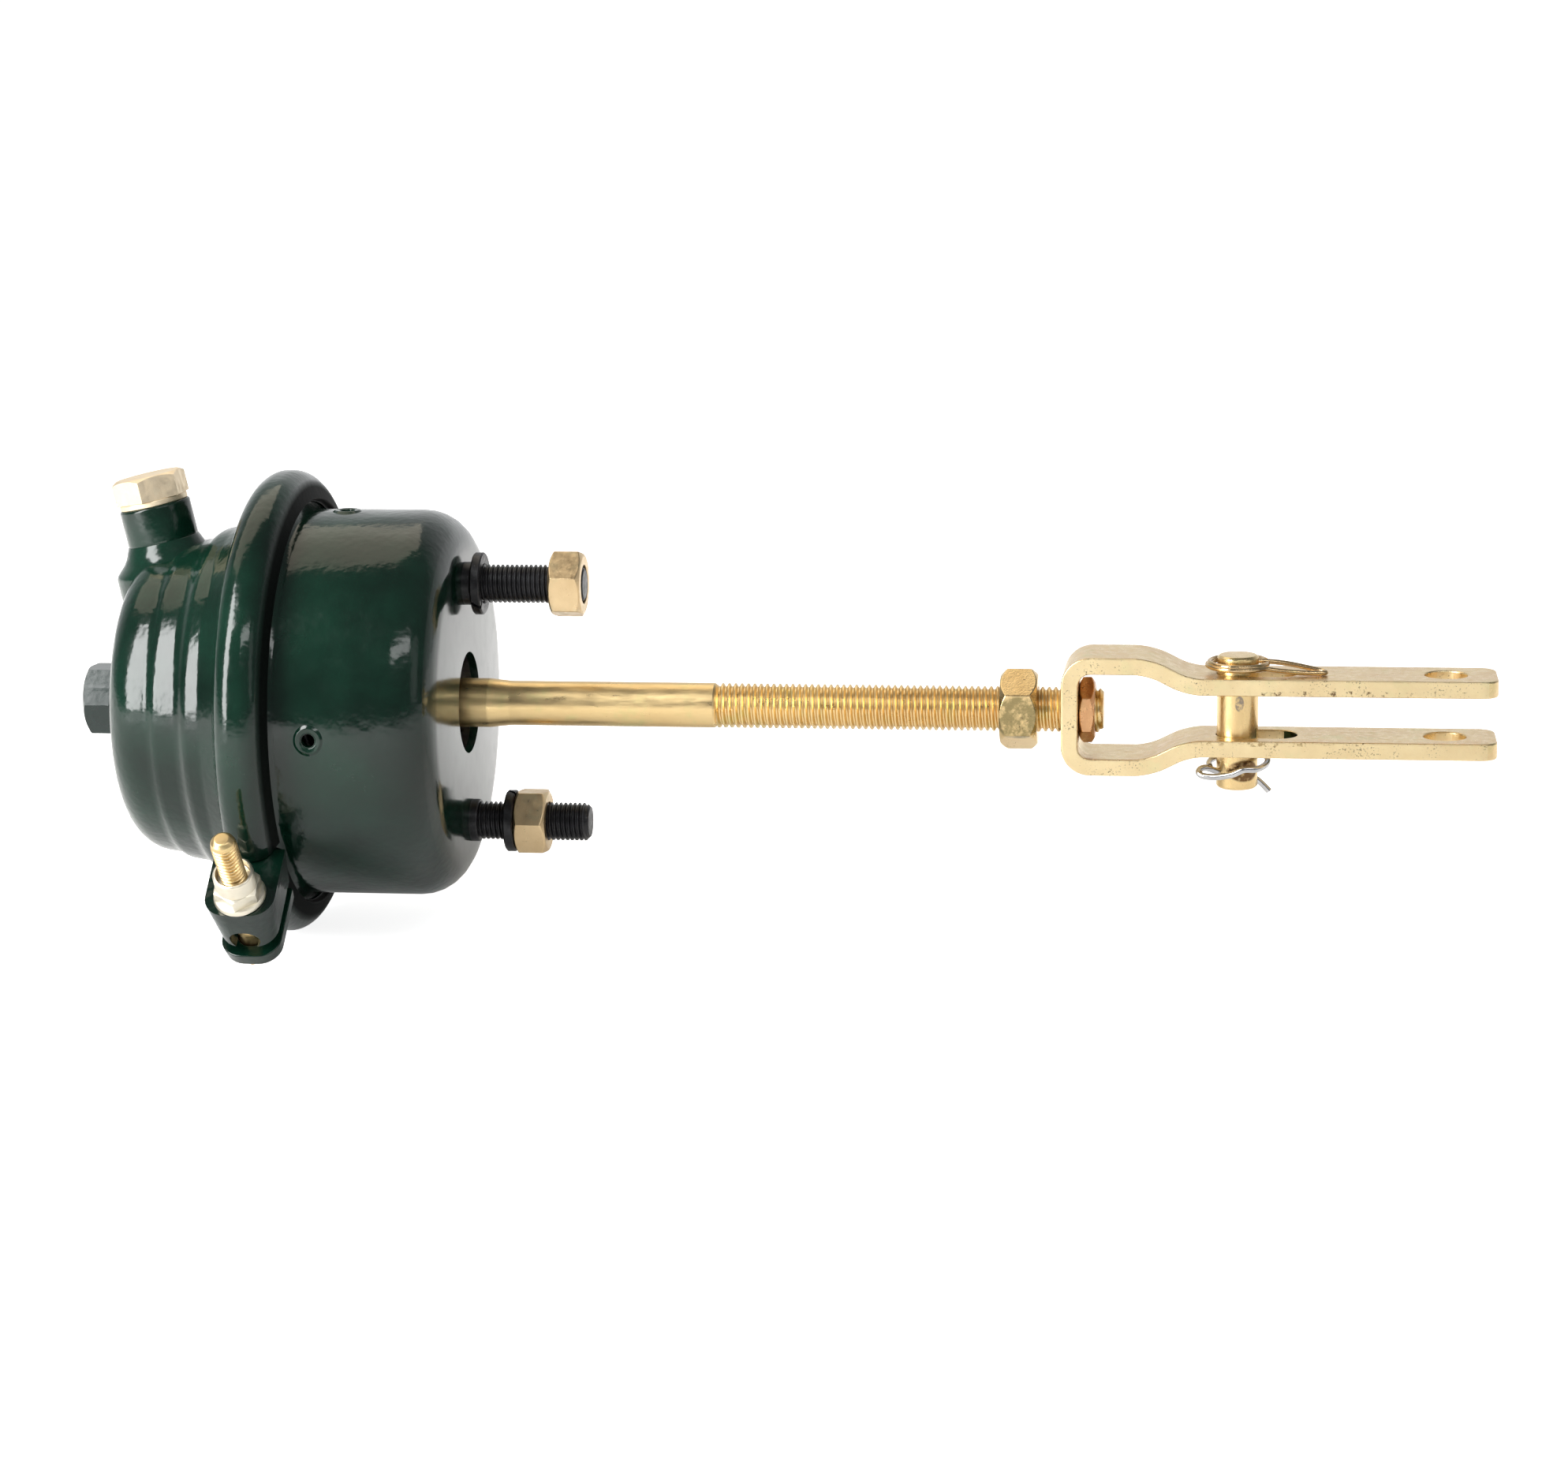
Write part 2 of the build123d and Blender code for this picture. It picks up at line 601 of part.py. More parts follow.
def ear_section(place, half_width, drop, wall=0.0):
    """Section of an ear across the bolt: straight sides down from the band, round corners below."""
    half_width -= wall
    drop -= wall
    corner = ear_corner - wall
    top = -band_lip_r - band_sheet
    bottom = -bolt_axis_r - drop
    plane = Plane(origin=(0, place, 0), x_dir=(1, 0, 0), z_dir=(0, -1, 0))
    outline = bent_line([(-half_width, top, 0), (-half_width, bottom, corner), (half_width, bottom, corner),
                         (half_width, top, 0)])
    return plane * make_face(outline.edges() + Line(outline @ 1, outline @ 0).edges())


def ear_hood(neck_place, neck, end_place, end, seat_place):
    """One formed ear: a hood from the split to its end, with the plate that takes the load. The neck
    and the end are each a half width and a drop from the bolt's axis."""
    step = math.copysign(ear_sheet, end_place - neck_place)
    overrun = math.copysign(seat_gap, step)
    hood = loft([ear_section(neck_place, *neck), ear_section(end_place, *end)], ruled=True)
    inside = loft([ear_section(neck_place - overrun, *neck, ear_sheet),
                   ear_section(end_place + overrun, *end, ear_sheet)], ruled=True)
    plate = Pos(0, seat_place - step / 2, -bolt_axis_r) * Box(4 * ear_half_width, ear_sheet, 4 * ear_drop)
    hole = Rot(X=90) * Cylinder(bolt_r + ear_hole_clearance, 4 * ear_sheet)
    hole = Pos(0, seat_place, -bolt_axis_r) * hole
    return hood - (inside - plate) - hole


def make_clamp_band():
    """One-piece band: a bent section round the flanges, split at the lug between two formed ears."""
    core = solid_under(offset_corners(band_line(), -band_sheet / 2))
    nut_side = split_place + band_split / 2
    head_side = split_place - band_split / 2
    nut_neck = (ear_neck_half_width, ear_neck_drop)
    nut_ear = ear_hood(nut_side, nut_neck, nut_seat_place, (ear_half_width, ear_drop), nut_seat_place)
    window = extrude(SlotOverall(ear_window_length, 2 * ear_window_r), 2 * ear_sheet, both=True)
    nut_ear -= Pos(0, nut_seat_place - ear_window_drop, -bolt_axis_r - ear_drop) * window
    around_head = (head_ear_room, head_ear_room)
    head_ear = ear_hood(head_side, around_head, head_hood_place, around_head, head_seat_place)
    band = turned(sheet_section(band_line(), -band_sheet))
    band -= at_lug(Pos(0, split_place, -band_r) * Box(2 * band_r, band_split, band_r))
    return band + (at_lug(nut_ear) - core) + (at_lug(head_ear) - core)


def on_bolt(shape):
    """Lays a shape drawn along +X on the bolt's axis; 0 is its point nearest the chamber's axis."""
    return at_lug(Pos(0, 0, -bolt_axis_r) * Rot(Z=90) * shape)


def make_clamp_bolt():
    head_start = head_seat_place - seat_gap - bolt_head_height
    bolt = stepped_turning([(head_start + bolt_head_height / 2, bolt_r), (bolt_tip_place, 0)])
    bolt = fillet(bolt.faces().sort_by(Axis.X)[-1].edges(), bolt_tip_round)
    head_end = head_start + bolt_head_height
    return on_bolt(bolt + hex_prism(clamp_nut_across_flats, head_start, head_end, crown=False))


def make_clamp_nut():
    """Flanged hexagon with a tall round collar, counterbored at its outer end."""
    seat = nut_seat_place + seat_gap
    hex_end = seat + clamp_nut_flange_height + clamp_nut_hex_height
    end = hex_end + clamp_nut_collar_height
    flange_end = seat + clamp_nut_flange_height
    flange = [(seat, clamp_nut_flange_r), (flange_end, 0)]
    flange = stepped_turning(flange, chamfer_end=clamp_nut_flange_chamfer)
    collar = [(hex_end, clamp_nut_collar_r), (end, 0)]
    collar = stepped_turning(collar, chamfer_end=clamp_nut_collar_chamfer)
    nut = flange + hex_prism(clamp_nut_across_flats, flange_end, hex_end, base_crown=False) + collar
    nut -= rod_along_x(bolt_r + seat_gap / 2, seat - 1, end + 1)
    counterbore = rod_along_x(bolt_r + clamp_nut_counterbore_gap, end - clamp_nut_counterbore, end + 1)
    return on_bolt(nut - counterbore)


parts = {
    "non_pressure_housing": make_non_pressure_housing,
    "pressure_housing": make_pressure_housing,
    "centre_port_boss": make_centre_port_boss,
    "side_port_boss": make_side_port_boss,
    "centre_port_plug": make_centre_port_plug,
    "side_port_plug": make_side_port_plug,
    "diaphragm": make_diaphragm,
    "push_plate": make_push_plate,
    "return_spring": make_return_spring,
    "stud_plate": make_stud_plate,
    "upper_mounting_stud": lambda: make_mounting_stud(1),
    "lower_mounting_stud": lambda: make_mounting_stud(-1),
    "upper_stud_washer": lambda: make_stud_washer(upper_washer_x, 1),
    "lower_stud_washer": lambda: make_stud_washer(lower_washer_x, -1),
    "upper_stud_nut": lambda: make_stud_nut(upper_nut_x, 1, upper_nut_turn),
    "lower_stud_nut": lambda: make_stud_nut(lower_nut_x, -1, lower_nut_turn),
    "push_rod": make_push_rod,
    "rod_jam_nut": make_rod_jam_nut,
    "yoke_lock_nut": make_yoke_lock_nut,
    "clevis_yoke": make_clevis_yoke,
    "clevis_pin": make_clevis_pin,
    "upper_pin_clip": make_upper_pin_clip,
    "lower_pin_clip": make_lower_pin_clip,
    "clamp_band": make_clamp_band,
    "clamp_bolt": make_clamp_bolt,
    "clamp_nut": make_clamp_nut,
}

os.makedirs("parts", exist_ok=True)
for node, make in parts.items():
    export_step(make(), f"parts/{node}.step")
    print("wrote", node)
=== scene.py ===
import bpy
import bmesh
import math
from mathutils import Matrix, Vector


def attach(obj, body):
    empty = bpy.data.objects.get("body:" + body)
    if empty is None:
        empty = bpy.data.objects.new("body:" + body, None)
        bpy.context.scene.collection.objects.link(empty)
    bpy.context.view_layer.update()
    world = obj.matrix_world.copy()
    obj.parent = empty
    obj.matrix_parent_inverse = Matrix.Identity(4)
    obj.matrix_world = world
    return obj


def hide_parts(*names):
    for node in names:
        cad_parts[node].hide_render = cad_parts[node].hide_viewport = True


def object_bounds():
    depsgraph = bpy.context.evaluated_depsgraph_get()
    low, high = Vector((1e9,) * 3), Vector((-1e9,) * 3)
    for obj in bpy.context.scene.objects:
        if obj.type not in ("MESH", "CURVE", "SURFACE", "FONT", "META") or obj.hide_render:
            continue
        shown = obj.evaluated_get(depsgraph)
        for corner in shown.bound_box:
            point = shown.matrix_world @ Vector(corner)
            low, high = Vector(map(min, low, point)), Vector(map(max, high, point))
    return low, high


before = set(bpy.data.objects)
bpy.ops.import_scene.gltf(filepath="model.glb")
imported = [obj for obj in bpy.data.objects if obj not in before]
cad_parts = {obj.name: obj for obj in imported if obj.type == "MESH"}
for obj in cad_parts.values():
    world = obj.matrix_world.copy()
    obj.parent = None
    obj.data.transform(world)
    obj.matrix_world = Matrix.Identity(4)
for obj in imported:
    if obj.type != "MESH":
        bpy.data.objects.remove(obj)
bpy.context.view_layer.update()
mm = 0.001


def addNode(tree, kind, **inputs):
    node = tree.nodes.new(kind)
    for key, value in inputs.items():
        node.inputs[key.replace("_", " ")].default_value = value
    return node


def ramp(tree, source, low, high, lowColour, highColour):
    # two-stop colour ramp between two mask values
    node = tree.nodes.new("ShaderNodeValToRGB")
    node.color_ramp.elements[0].position = low
    node.color_ramp.elements[1].position = high
    node.color_ramp.elements[0].color = (*lowColour, 1)
    node.color_ramp.elements[1].color = (*highColour, 1)
    tree.links.new(source, node.inputs["Fac"])
    return node.outputs["Color"]


def feed(tree, socket, value):
    # sets a number or a colour and links anything else
    if isinstance(value, (int, float)):
        socket.default_value = value
    elif isinstance(value, tuple):
        socket.default_value = (*value, 1)
    else:
        tree.links.new(value, socket)


def blendColours(tree, mask, first, second):
    node = tree.nodes.new("ShaderNodeMix")
    node.data_type = "RGBA"
    tree.links.new(mask, node.inputs[0])
    feed(tree, node.inputs[6], first)
    feed(tree, node.inputs[7], second)
    return node.outputs[2]


def calculate(tree, operation, *values, clamped=False):
    node = tree.nodes.new("ShaderNodeMath")
    node.operation = operation
    node.use_clamp = clamped
    for socket, value in zip(node.inputs, values):
        feed(tree, socket, value)
    return node.outputs[0]


def vectorStep(tree, operation, vector, *values):
    # gives a number for a length or a dot product and a vector otherwise
    node = tree.nodes.new("ShaderNodeVectorMath")
    node.operation = operation
    tree.links.new(vector, node.inputs[0])
    for socket, value in zip(node.inputs[1:], values):
        socket.default_value = value
    return node.outputs["Value" if operation in ("LENGTH", "DOT_PRODUCT") else "Vector"]


def axisOf(tree, vector, axis):
    node = tree.nodes.new("ShaderNodeSeparateXYZ")
    tree.links.new(vector, node.inputs[0])
    return node.outputs[axis]


def fade(tree, value, low, high, start=0.0, end=1.0):
    # goes from start to end while the value goes from low to high
    node = addNode(tree, "ShaderNodeMapRange", From_Min=low, From_Max=high, To_Min=start, To_Max=end)
    tree.links.new(value, node.inputs["Value"])
    return node.outputs["Result"]


def newGroup(name, output, **values):
    group = bpy.data.node_groups.new(name, "ShaderNodeTree")
    group.interface.new_socket(name="Vector", in_out="INPUT", socket_type="NodeSocketVector")
    for label, value in values.items():
        socket = group.interface.new_socket(name=label, in_out="INPUT", socket_type="NodeSocketFloat")
        socket.default_value = value
    group.interface.new_socket(name=output, in_out="OUTPUT", socket_type="NodeSocketFloat")
    return group, group.nodes.new("NodeGroupInput").outputs, group.nodes.new("NodeGroupOutput").inputs[output]


def groupNoise(group, source, size, detail, roughness):
    node = addNode(group, "ShaderNodeTexNoise", Detail=detail, Roughness=roughness)
    group.links.new(source["Vector"], node.inputs["Vector"])
    group.links.new(source[size], node.inputs["Scale"])
    return node.outputs["Fac"]


def buildSpeckleGroup():
    # small dark or bright spots gathered in patches; Mask is 1 on a spot
    group, source, mask = newGroup("speckle", "Mask", Size=900.0, Patches=60.0, Cover=0.62)
    fine = groupNoise(group, source, "Size", 3.0, 0.65)
    patch = groupNoise(group, source, "Patches", 2.0, 0.5)
    both = calculate(group, "ADD", fine, calculate(group, "MULTIPLY", patch, 0.5))
    cut = calculate(group, "SUBTRACT", both, source["Cover"])
    group.links.new(calculate(group, "MULTIPLY", cut, 9.0, clamped=True), mask)
    return group


def buildRippleGroup():
    # slow dents and fine orange peel, as one height
    group, source, height = newGroup("ripple", "Height", Peel=420.0, Dents=38.0, Dent_share=6.0)
    peel = groupNoise(group, source, "Peel", 1.5, 0.4)
    dents = groupNoise(group, source, "Dents", 1.0, 0.4)
    slow = calculate(group, "MULTIPLY", dents, source["Dent_share"])
    group.links.new(calculate(group, "ADD", peel, slow), height)
    return group


speckleGroup = buildSpeckleGroup()
rippleGroup = buildRippleGroup()


def placeGroup(tree, group, vector, **values):
    node = tree.nodes.new("ShaderNodeGroup")
    node.node_tree = group
    tree.links.new(vector, node.inputs["Vector"])
    for key, value in values.items():
        node.inputs[key].default_value = value
    return node.outputs[0]


def startMaterial(name):
    material = bpy.data.materials.new(name)
    material.use_nodes = True
    tree = material.node_tree
    shader = tree.nodes["Principled BSDF"]
    place = tree.nodes.new("ShaderNodeTexCoord").outputs["Object"]
    return material, tree, shader, place


def addBump(tree, shader, height, strength, distance):
    bump = addNode(tree, "ShaderNodeBump", Strength=strength, Distance=distance)
    tree.links.new(height, bump.inputs["Height"])
    tree.links.new(bump.outputs["Normal"], shader.inputs["Normal"])


def noise(tree, place, scale, detail=3.0, roughness=0.5, stretch=(1, 1, 1)):
    mapping = tree.nodes.new("ShaderNodeMapping")
    mapping.inputs["Scale"].default_value = stretch
    tree.links.new(place, mapping.inputs["Vector"])
    node = addNode(tree, "ShaderNodeTexNoise", Scale=scale, Detail=detail, Roughness=roughness)
    tree.links.new(mapping.outputs["Vector"], node.inputs["Vector"])
    return node.outputs["Fac"]


# the last four values paint shade on the band's flank: a near black colour, high roughness, low specular and
# a fade length in mm
paint = {"deep": (0.0012, 0.0105, 0.0058), "thin": (0.0045, 0.028, 0.016), "dust": (0.16, 0.18, 0.16),
         "specular": 0.5, "peel": 0.16, "housingDents": 8.0, "bandDents": 9.0, "flatFrom": -0.05,
         "flatTo": -3.0, "paintedShade": (0.001, 0.0022, 0.0016), "paintedShadeRough": 0.65, "paintedShadeSpecular": 0.08,
         "paintedShadeFade": 1.2}
plugCoat = {"deep": (0.006, 0.016, 0.013), "thin": (0.014, 0.028, 0.024), "peel": 0.03, "dents": 1.0}


def paintMaterial(name, coat, dents, flatFace=False, paintedShadeFrom=None):
    # thick gloss paint over a stamped sheet, with runs, peel and a little dust; past a place along X it is
    # painted near black, matt and weakly reflective as painted shade
    material, tree, shader, place = startMaterial(name)
    base = ramp(tree, noise(tree, place, 21, 4.0, 0.6), 0.38, 0.66, coat["deep"], coat["thin"])
    dust = placeGroup(tree, speckleGroup, place, Size=2600.0, Patches=45.0, Cover=1.02)
    wear = ramp(tree, noise(tree, place, 160, 4.0, 0.6), 0.3, 0.75, (0.10,) * 3, (0.20,) * 3)
    shader.inputs["Specular IOR Level"].default_value = paint["specular"]
    # past the given place along X the paint turns near black, matt and weakly reflective: painted shade for
    # the band's flank in the gap beside the housing
    if paintedShadeFrom is not None:
        paintedShade = fade(tree, axisOf(tree, place, "X"), paintedShadeFrom * mm, (paintedShadeFrom + paint["paintedShadeFade"]) * mm)
        base = blendColours(tree, paintedShade, base, paint["paintedShade"])
        wear = blendColours(tree, paintedShade, wear, (paint["paintedShadeRough"],) * 3)
        shine = blendColours(tree, paintedShade, (paint["specular"],) * 3, (paint["paintedShadeSpecular"],) * 3)
        tree.links.new(shine, shader.inputs["Specular IOR Level"])
    tree.links.new(blendColours(tree, dust, base, paint["dust"]), shader.inputs["Base Color"])
    tree.links.new(blendColours(tree, dust, wear, (0.6,) * 3), shader.inputs["Roughness"])
    height = placeGroup(tree, rippleGroup, place, Peel=420.0, Dents=44.0, Dent_share=dents)
    if flatFace:
        # no dents on the flat mounting face at x = 0
        away = fade(tree, axisOf(tree, place, "X"), paint["flatFrom"] * mm, paint["flatTo"] * mm)
        height = calculate(tree, "MULTIPLY", height, away)
    addBump(tree, shader, height, coat["peel"], 0.0006)
    return material


def addStainAndShade(tree, place, colour, at, reach, stainAndShadeColour, low, high, wallsOnly=False):
    # darkening inside an ellipsoid, broken up by noise between the two levels; on some parts it is a real
    # stain, on others painted shade
    offset = vectorStep(tree, "SUBTRACT", place, [a * mm for a in at])
    scaled = vectorStep(tree, "MULTIPLY", offset, [1 / (r * mm) for r in reach])
    near = ramp(tree, vectorStep(tree, "LENGTH", scaled), 0.85, 1.0, (1,) * 3, (0,) * 3)
    if wallsOnly:
        upward = axisOf(tree, tree.nodes.new("ShaderNodeNewGeometry").outputs["Normal"], "Z")
        flat = ramp(tree, calculate(tree, "ABSOLUTE", upward), 0.4, 0.6, (0,) * 3, (1,) * 3)
        near = blendColours(tree, flat, near, (0,) * 3)
    patchy = ramp(tree, noise(tree, place, 420, 5.0, 0.7), low, high, (0,) * 3, (1,) * 3)
    return blendColours(tree, blendColours(tree, near, (0,) * 3, patchy), colour, stainAndShadeColour)


def zincMaterial(name, bright, shade, tint, rough, spots, spotColour, grain=(1, 1, 1), stainsAndShades=()):
    # chromated zinc plate: drifting tint, small dark pits, and soft marks: real stains on some parts, painted
    # shade and a painted dark reflection on others
    material, tree, shader, place = startMaterial(name)
    drift = ramp(tree, noise(tree, place, 55, 5.0, 0.65, grain), 0.34, 0.68, shade, bright)
    greened = ramp(tree, noise(tree, place, 120, 3.0, 0.6), 0.55, 0.8, (0,) * 3, (0.7,) * 3)
    tinted = blendColours(tree, greened, drift, tint)
    pits = placeGroup(tree, speckleGroup, place, Size=1500.0, Patches=150.0, Cover=spots)
    for stainAndShadeSpot in stainsAndShades:
        tinted = addStainAndShade(tree, place, tinted, **stainAndShadeSpot)
    tree.links.new(blendColours(tree, pits, tinted, spotColour), shader.inputs["Base Color"])
    grains = noise(tree, place, 420, 4.0, 0.65, grain)
    cloud = ramp(tree, grains, 0.3, 0.75, (rough * 0.7,) * 3, (rough * 1.45,) * 3)
    tree.links.new(blendColours(tree, pits, cloud, (0.7, 0.7, 0.7)), shader.inputs["Roughness"])
    shader.inputs["Metallic"].default_value = 1.0
    scratches = noise(tree, place, 1400, 3.0, 0.6, grain)
    addBump(tree, shader, scratches, 0.12, 0.0004)
    return material


def blackSteelMaterial(name):
    # black phosphate with an oily sheen and worn crests
    material, tree, shader, place = startMaterial(name)
    wear = placeGroup(tree, speckleGroup, place, Size=1800.0, Patches=220.0, Cover=0.93)
    base = ramp(tree, noise(tree, place, 240, 4.0, 0.6), 0.3, 0.75, (0.006, 0.006, 0.007),
                (0.022, 0.022, 0.024))
    tree.links.new(blendColours(tree, wear, base, (0.10, 0.10, 0.10)), shader.inputs["Base Color"])
    cloud = ramp(tree, noise(tree, place, 500, 3.0, 0.6), 0.3, 0.75, (0.28,) * 3, (0.5,) * 3)
    tree.links.new(cloud, shader.inputs["Roughness"])
    shader.inputs["Metallic"].default_value = 0.35
    addBump(tree, shader, noise(tree, place, 1500, 3.0, 0.6), 0.15, 0.0003)
    return material


def steelMaterial(name, bright, dark, rough):
    # bare or bright plated steel with drawn streaks
    material, tree, shader, place = startMaterial(name)
    base = ramp(tree, noise(tree, place, 300, 5.0, 0.7, (0.3, 1, 1)), 0.3, 0.7, dark, bright)
    stains = placeGroup(tree, speckleGroup, place, Size=1300.0, Patches=200.0, Cover=0.98)
    tree.links.new(blendColours(tree, stains, base, (0.2, 0.18, 0.15)), shader.inputs["Base Color"])
    cloud = ramp(tree, noise(tree, place, 700, 3.0, 0.6), 0.3, 0.75, (rough * 0.7,) * 3, (rough * 1.4,) * 3)
    tree.links.new(cloud, shader.inputs["Roughness"])
    shader.inputs["Metallic"].default_value = 1.0
    addBump(tree, shader, noise(tree, place, 1500, 2.0, 0.6), 0.1, 0.0003)
    return material


def rubberMaterial(name):
    # matt moulded rubber with a faint bloom
    material, tree, shader, place = startMaterial(name)
    base = ramp(tree, noise(tree, place, 90, 4.0, 0.6), 0.35, 0.7, (0.012, 0.012, 0.013),
                (0.035, 0.034, 0.033))
    tree.links.new(base, shader.inputs["Base Color"])
    cloud = ramp(tree, noise(tree, place, 300), 0.3, 0.7, (0.6,) * 3, (0.85,) * 3)
    tree.links.new(cloud, shader.inputs["Roughness"])
    addBump(tree, shader, noise(tree, place, 1200, 2.0, 0.6), 0.2, 0.0003)
    return material


housingPaint = paintMaterial("housingPaint", paint, paint["housingDents"], flatFace=True)
bandPaint = paintMaterial("bandPaint", paint, paint["bandDents"])
plugPaint = paintMaterial("plugPaint", plugCoat, plugCoat["dents"])
greenTint = (0.62, 0.58, 0.26)
turnedZinc = zincMaterial("turnedZinc", (0.83, 0.63, 0.32), (0.72, 0.51, 0.24), greenTint, 0.34, 1.02,
                          (0.30, 0.18, 0.08), (0.25, 1, 1))
plugZinc = zincMaterial("plugZinc", (0.93, 0.79, 0.58), (0.85, 0.70, 0.48), (0.78, 0.72, 0.55), 0.46, 0.99,
                        (0.5, 0.4, 0.28))
shearedZinc = zincMaterial("shearedZinc", (0.90, 0.74, 0.44), (0.80, 0.63, 0.36), (0.74, 0.68, 0.38), 0.42,
                           0.88, (0.16, 0.11, 0.06), stainsAndShades=[
                               {"at": (275, -12, 7.4), "reach": (34, 2, 1.7), "stainAndShadeColour": (0.20, 0.13, 0.07),
                                "low": 0.55, "high": 0.62},
                               {"at": (246, -12, -7.4), "reach": (26, 2, 1.2), "stainAndShadeColour": (0.46, 0.33, 0.16),
                                "low": 0.5, "high": 0.6}])
# the dark green mark on the walls of the lower leg's slot is painted shade
strapZinc = zincMaterial("strapZinc", (0.84, 0.66, 0.36), (0.76, 0.55, 0.30), greenTint, 0.30, 0.99,
                         (0.22, 0.15, 0.08), stainsAndShades=[
                             {"at": (246.8, 0, -9.6), "reach": (16, 9, 30), "stainAndShadeColour": (0.03, 0.045, 0.018),
                              "low": 0.0, "high": 0.1, "wallsOnly": True}])
# the dark patch on the nut's front face is partly a real stain and partly a painted dark reflection
jamZinc = zincMaterial("jamZinc", (0.84, 0.64, 0.34), (0.70, 0.50, 0.24), greenTint, 0.19, 0.90,
                       (0.20, 0.14, 0.08), stainsAndShades=[
                           {"at": (174.2, -10.5, -0.8), "reach": (8, 4, 7.5), "stainAndShadeColour": (0.30, 0.235, 0.11),
                            "low": 0.30, "high": 0.54}])
# the first dark mark, on the pin beside the lower clip, is painted shade from the clip
pinZinc = zincMaterial("pinZinc", (0.83, 0.63, 0.32), (0.74, 0.52, 0.25), greenTint, 0.26, 1.02,
                       (0.30, 0.18, 0.08), (1, 1, 0.25), stainsAndShades=[
                           {"at": (243.5, -6, -17.6), "reach": (6, 5, 3.6), "stainAndShadeColour": (0.16, 0.09, 0.04),
                            "low": 0.25, "high": 0.5},
                           {"at": (241.5, -6.3, 3.6), "reach": (1.5, 2, 2.6), "stainAndShadeColour": (0.30, 0.24, 0.18),
                            "low": 0.45, "high": 0.6}])
clipZinc = zincMaterial("clipZinc", (0.80, 0.60, 0.34), (0.42, 0.27, 0.12), greenTint, 0.20, 1.0,
                        (0.16, 0.09, 0.04))
paleZinc = zincMaterial("paleZinc", (0.76, 0.58, 0.34), (0.62, 0.45, 0.25), (0.60, 0.55, 0.34), 0.36, 0.95,
                        (0.38, 0.26, 0.16))
roseZinc = zincMaterial("roseZinc", (0.70, 0.40, 0.20), (0.55, 0.28, 0.13), (0.6, 0.42, 0.2), 0.3, 0.95,
                        (0.12, 0.07, 0.04))
creamZinc = zincMaterial("creamZinc", (0.86, 0.80, 0.66), (0.74, 0.68, 0.55), (0.82, 0.74, 0.5), 0.38, 1.0,
                         (0.35, 0.3, 0.22))
blackSteel = blackSteelMaterial("blackSteel")
brightWire = steelMaterial("brightWire", (0.72, 0.72, 0.72), (0.42, 0.42, 0.43), 0.18)
plainSteel = steelMaterial("plainSteel", (0.42, 0.42, 0.43), (0.24, 0.24, 0.25), 0.35)
springSteel = steelMaterial("springSteel", (0.16, 0.16, 0.17), (0.07, 0.07, 0.075), 0.4)
rubber = rubberMaterial("rubber")
print("materials made")


def meshFrom(name, bm):
    mesh = bpy.data.meshes.new(name)
    bm.to_mesh(mesh)
    bm.free()
    return mesh


def addObject(name, data):
    thing = bpy.data.objects.new(name, data)
    bpy.context.scene.collection.objects.link(thing)
    return thing


def assign(piece, body, node):
    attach(piece, body)
    if node:
        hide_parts(node)


def finishPiece(name, bm, material, node, sharp=35, ridge=0.0, middle=None, body="chamber"):
    # makes a bmesh a piece that rides on a body and may stand for a CAD node; an open sheet names its middle
    bmesh.ops.remove_doubles(bm, verts=bm.verts, dist=1e-6)
    bmesh.ops.recalc_face_normals(bm, faces=bm.faces)
    if middle:
        faceAway(bm, Vector(middle) * mm)
    mesh = meshFrom(name, bm)
    mesh.shade_smooth()
    mesh.set_sharp_from_angle(angle=math.radians(sharp))
    piece = addObject(name, mesh)
    mesh.materials.append(material)
    if ridge:
        addRidge(piece, ridge, sharp)
    assign(piece, body, node)
    return piece


def faceAway(bm, middle):
    # turns the faces of an open sheet away from its middle
    face = max(bm.faces, key=lambda f: (f.calc_center_median() - middle).length)
    if face.normal.dot(face.calc_center_median() - middle) < 0:
        bmesh.ops.reverse_faces(bm, faces=bm.faces)


def addRidge(piece, width, sharp=35):
    bevel = piece.modifiers.new("edge", "BEVEL")
    bevel.width = width * mm
    bevel.segments = 3
    bevel.limit_method = "ANGLE"
    bevel.angle_limit = math.radians(sharp)
    bevel.harden_normals = True


def chain(bm, verts):
    for first, second in zip(verts, verts[1:]):
        bm.edges.new((first, second))


def bentWire(bm, corners, steps=7):
    # a wire through (x, r, bend) corners in the XZ plane, each inner corner rounded
    corners = [(x * mm, r * mm, bend * mm) for x, r, bend in corners]
    verts = [bm.verts.new((x, 0, r)) for x, r, bend in corners]
    chain(bm, verts)
    for i in range(1, len(corners) - 1):
        bend = corners[i][2]
        before = Vector(corners[i][:2]) - Vector(corners[i - 1][:2])
        after = Vector(corners[i + 1][:2]) - Vector(corners[i][:2])
        turn = before.angle(after)
        if bend:
            bmesh.ops.bevel(bm, geom=[verts[i]], offset=bend * math.tan(turn / 2), offset_type="OFFSET",
                            segments=steps, profile=0.5, affect="VERTICES", material=-1)


def spinX(bm, steps=128, angle=2 * math.pi, lift=0.0, merge=True):
    # turns everything in the bmesh about the X axis, with an optional advance along it
    bmesh.ops.spin(bm, geom=bm.verts[:] + bm.edges[:], cent=(0, 0, 0), axis=(1, 0, 0), dvec=(lift, 0, 0),
                   angle=angle, steps=steps, use_merge=merge, use_duplicate=False)


def turnedShape(corners, steps=96):
    bm = bmesh.new()
    bentWire(bm, corners)
    spinX(bm, steps)
    bmesh.ops.remove_doubles(bm, verts=bm.verts, dist=1e-6)
    return bm


def moved(bm, *steps):
    for step in steps:
        bmesh.ops.transform(bm, matrix=step, verts=bm.verts)
    return bm


def shift(x=0.0, y=0.0, z=0.0):
    return Matrix.Translation((x * mm, y * mm, z * mm))


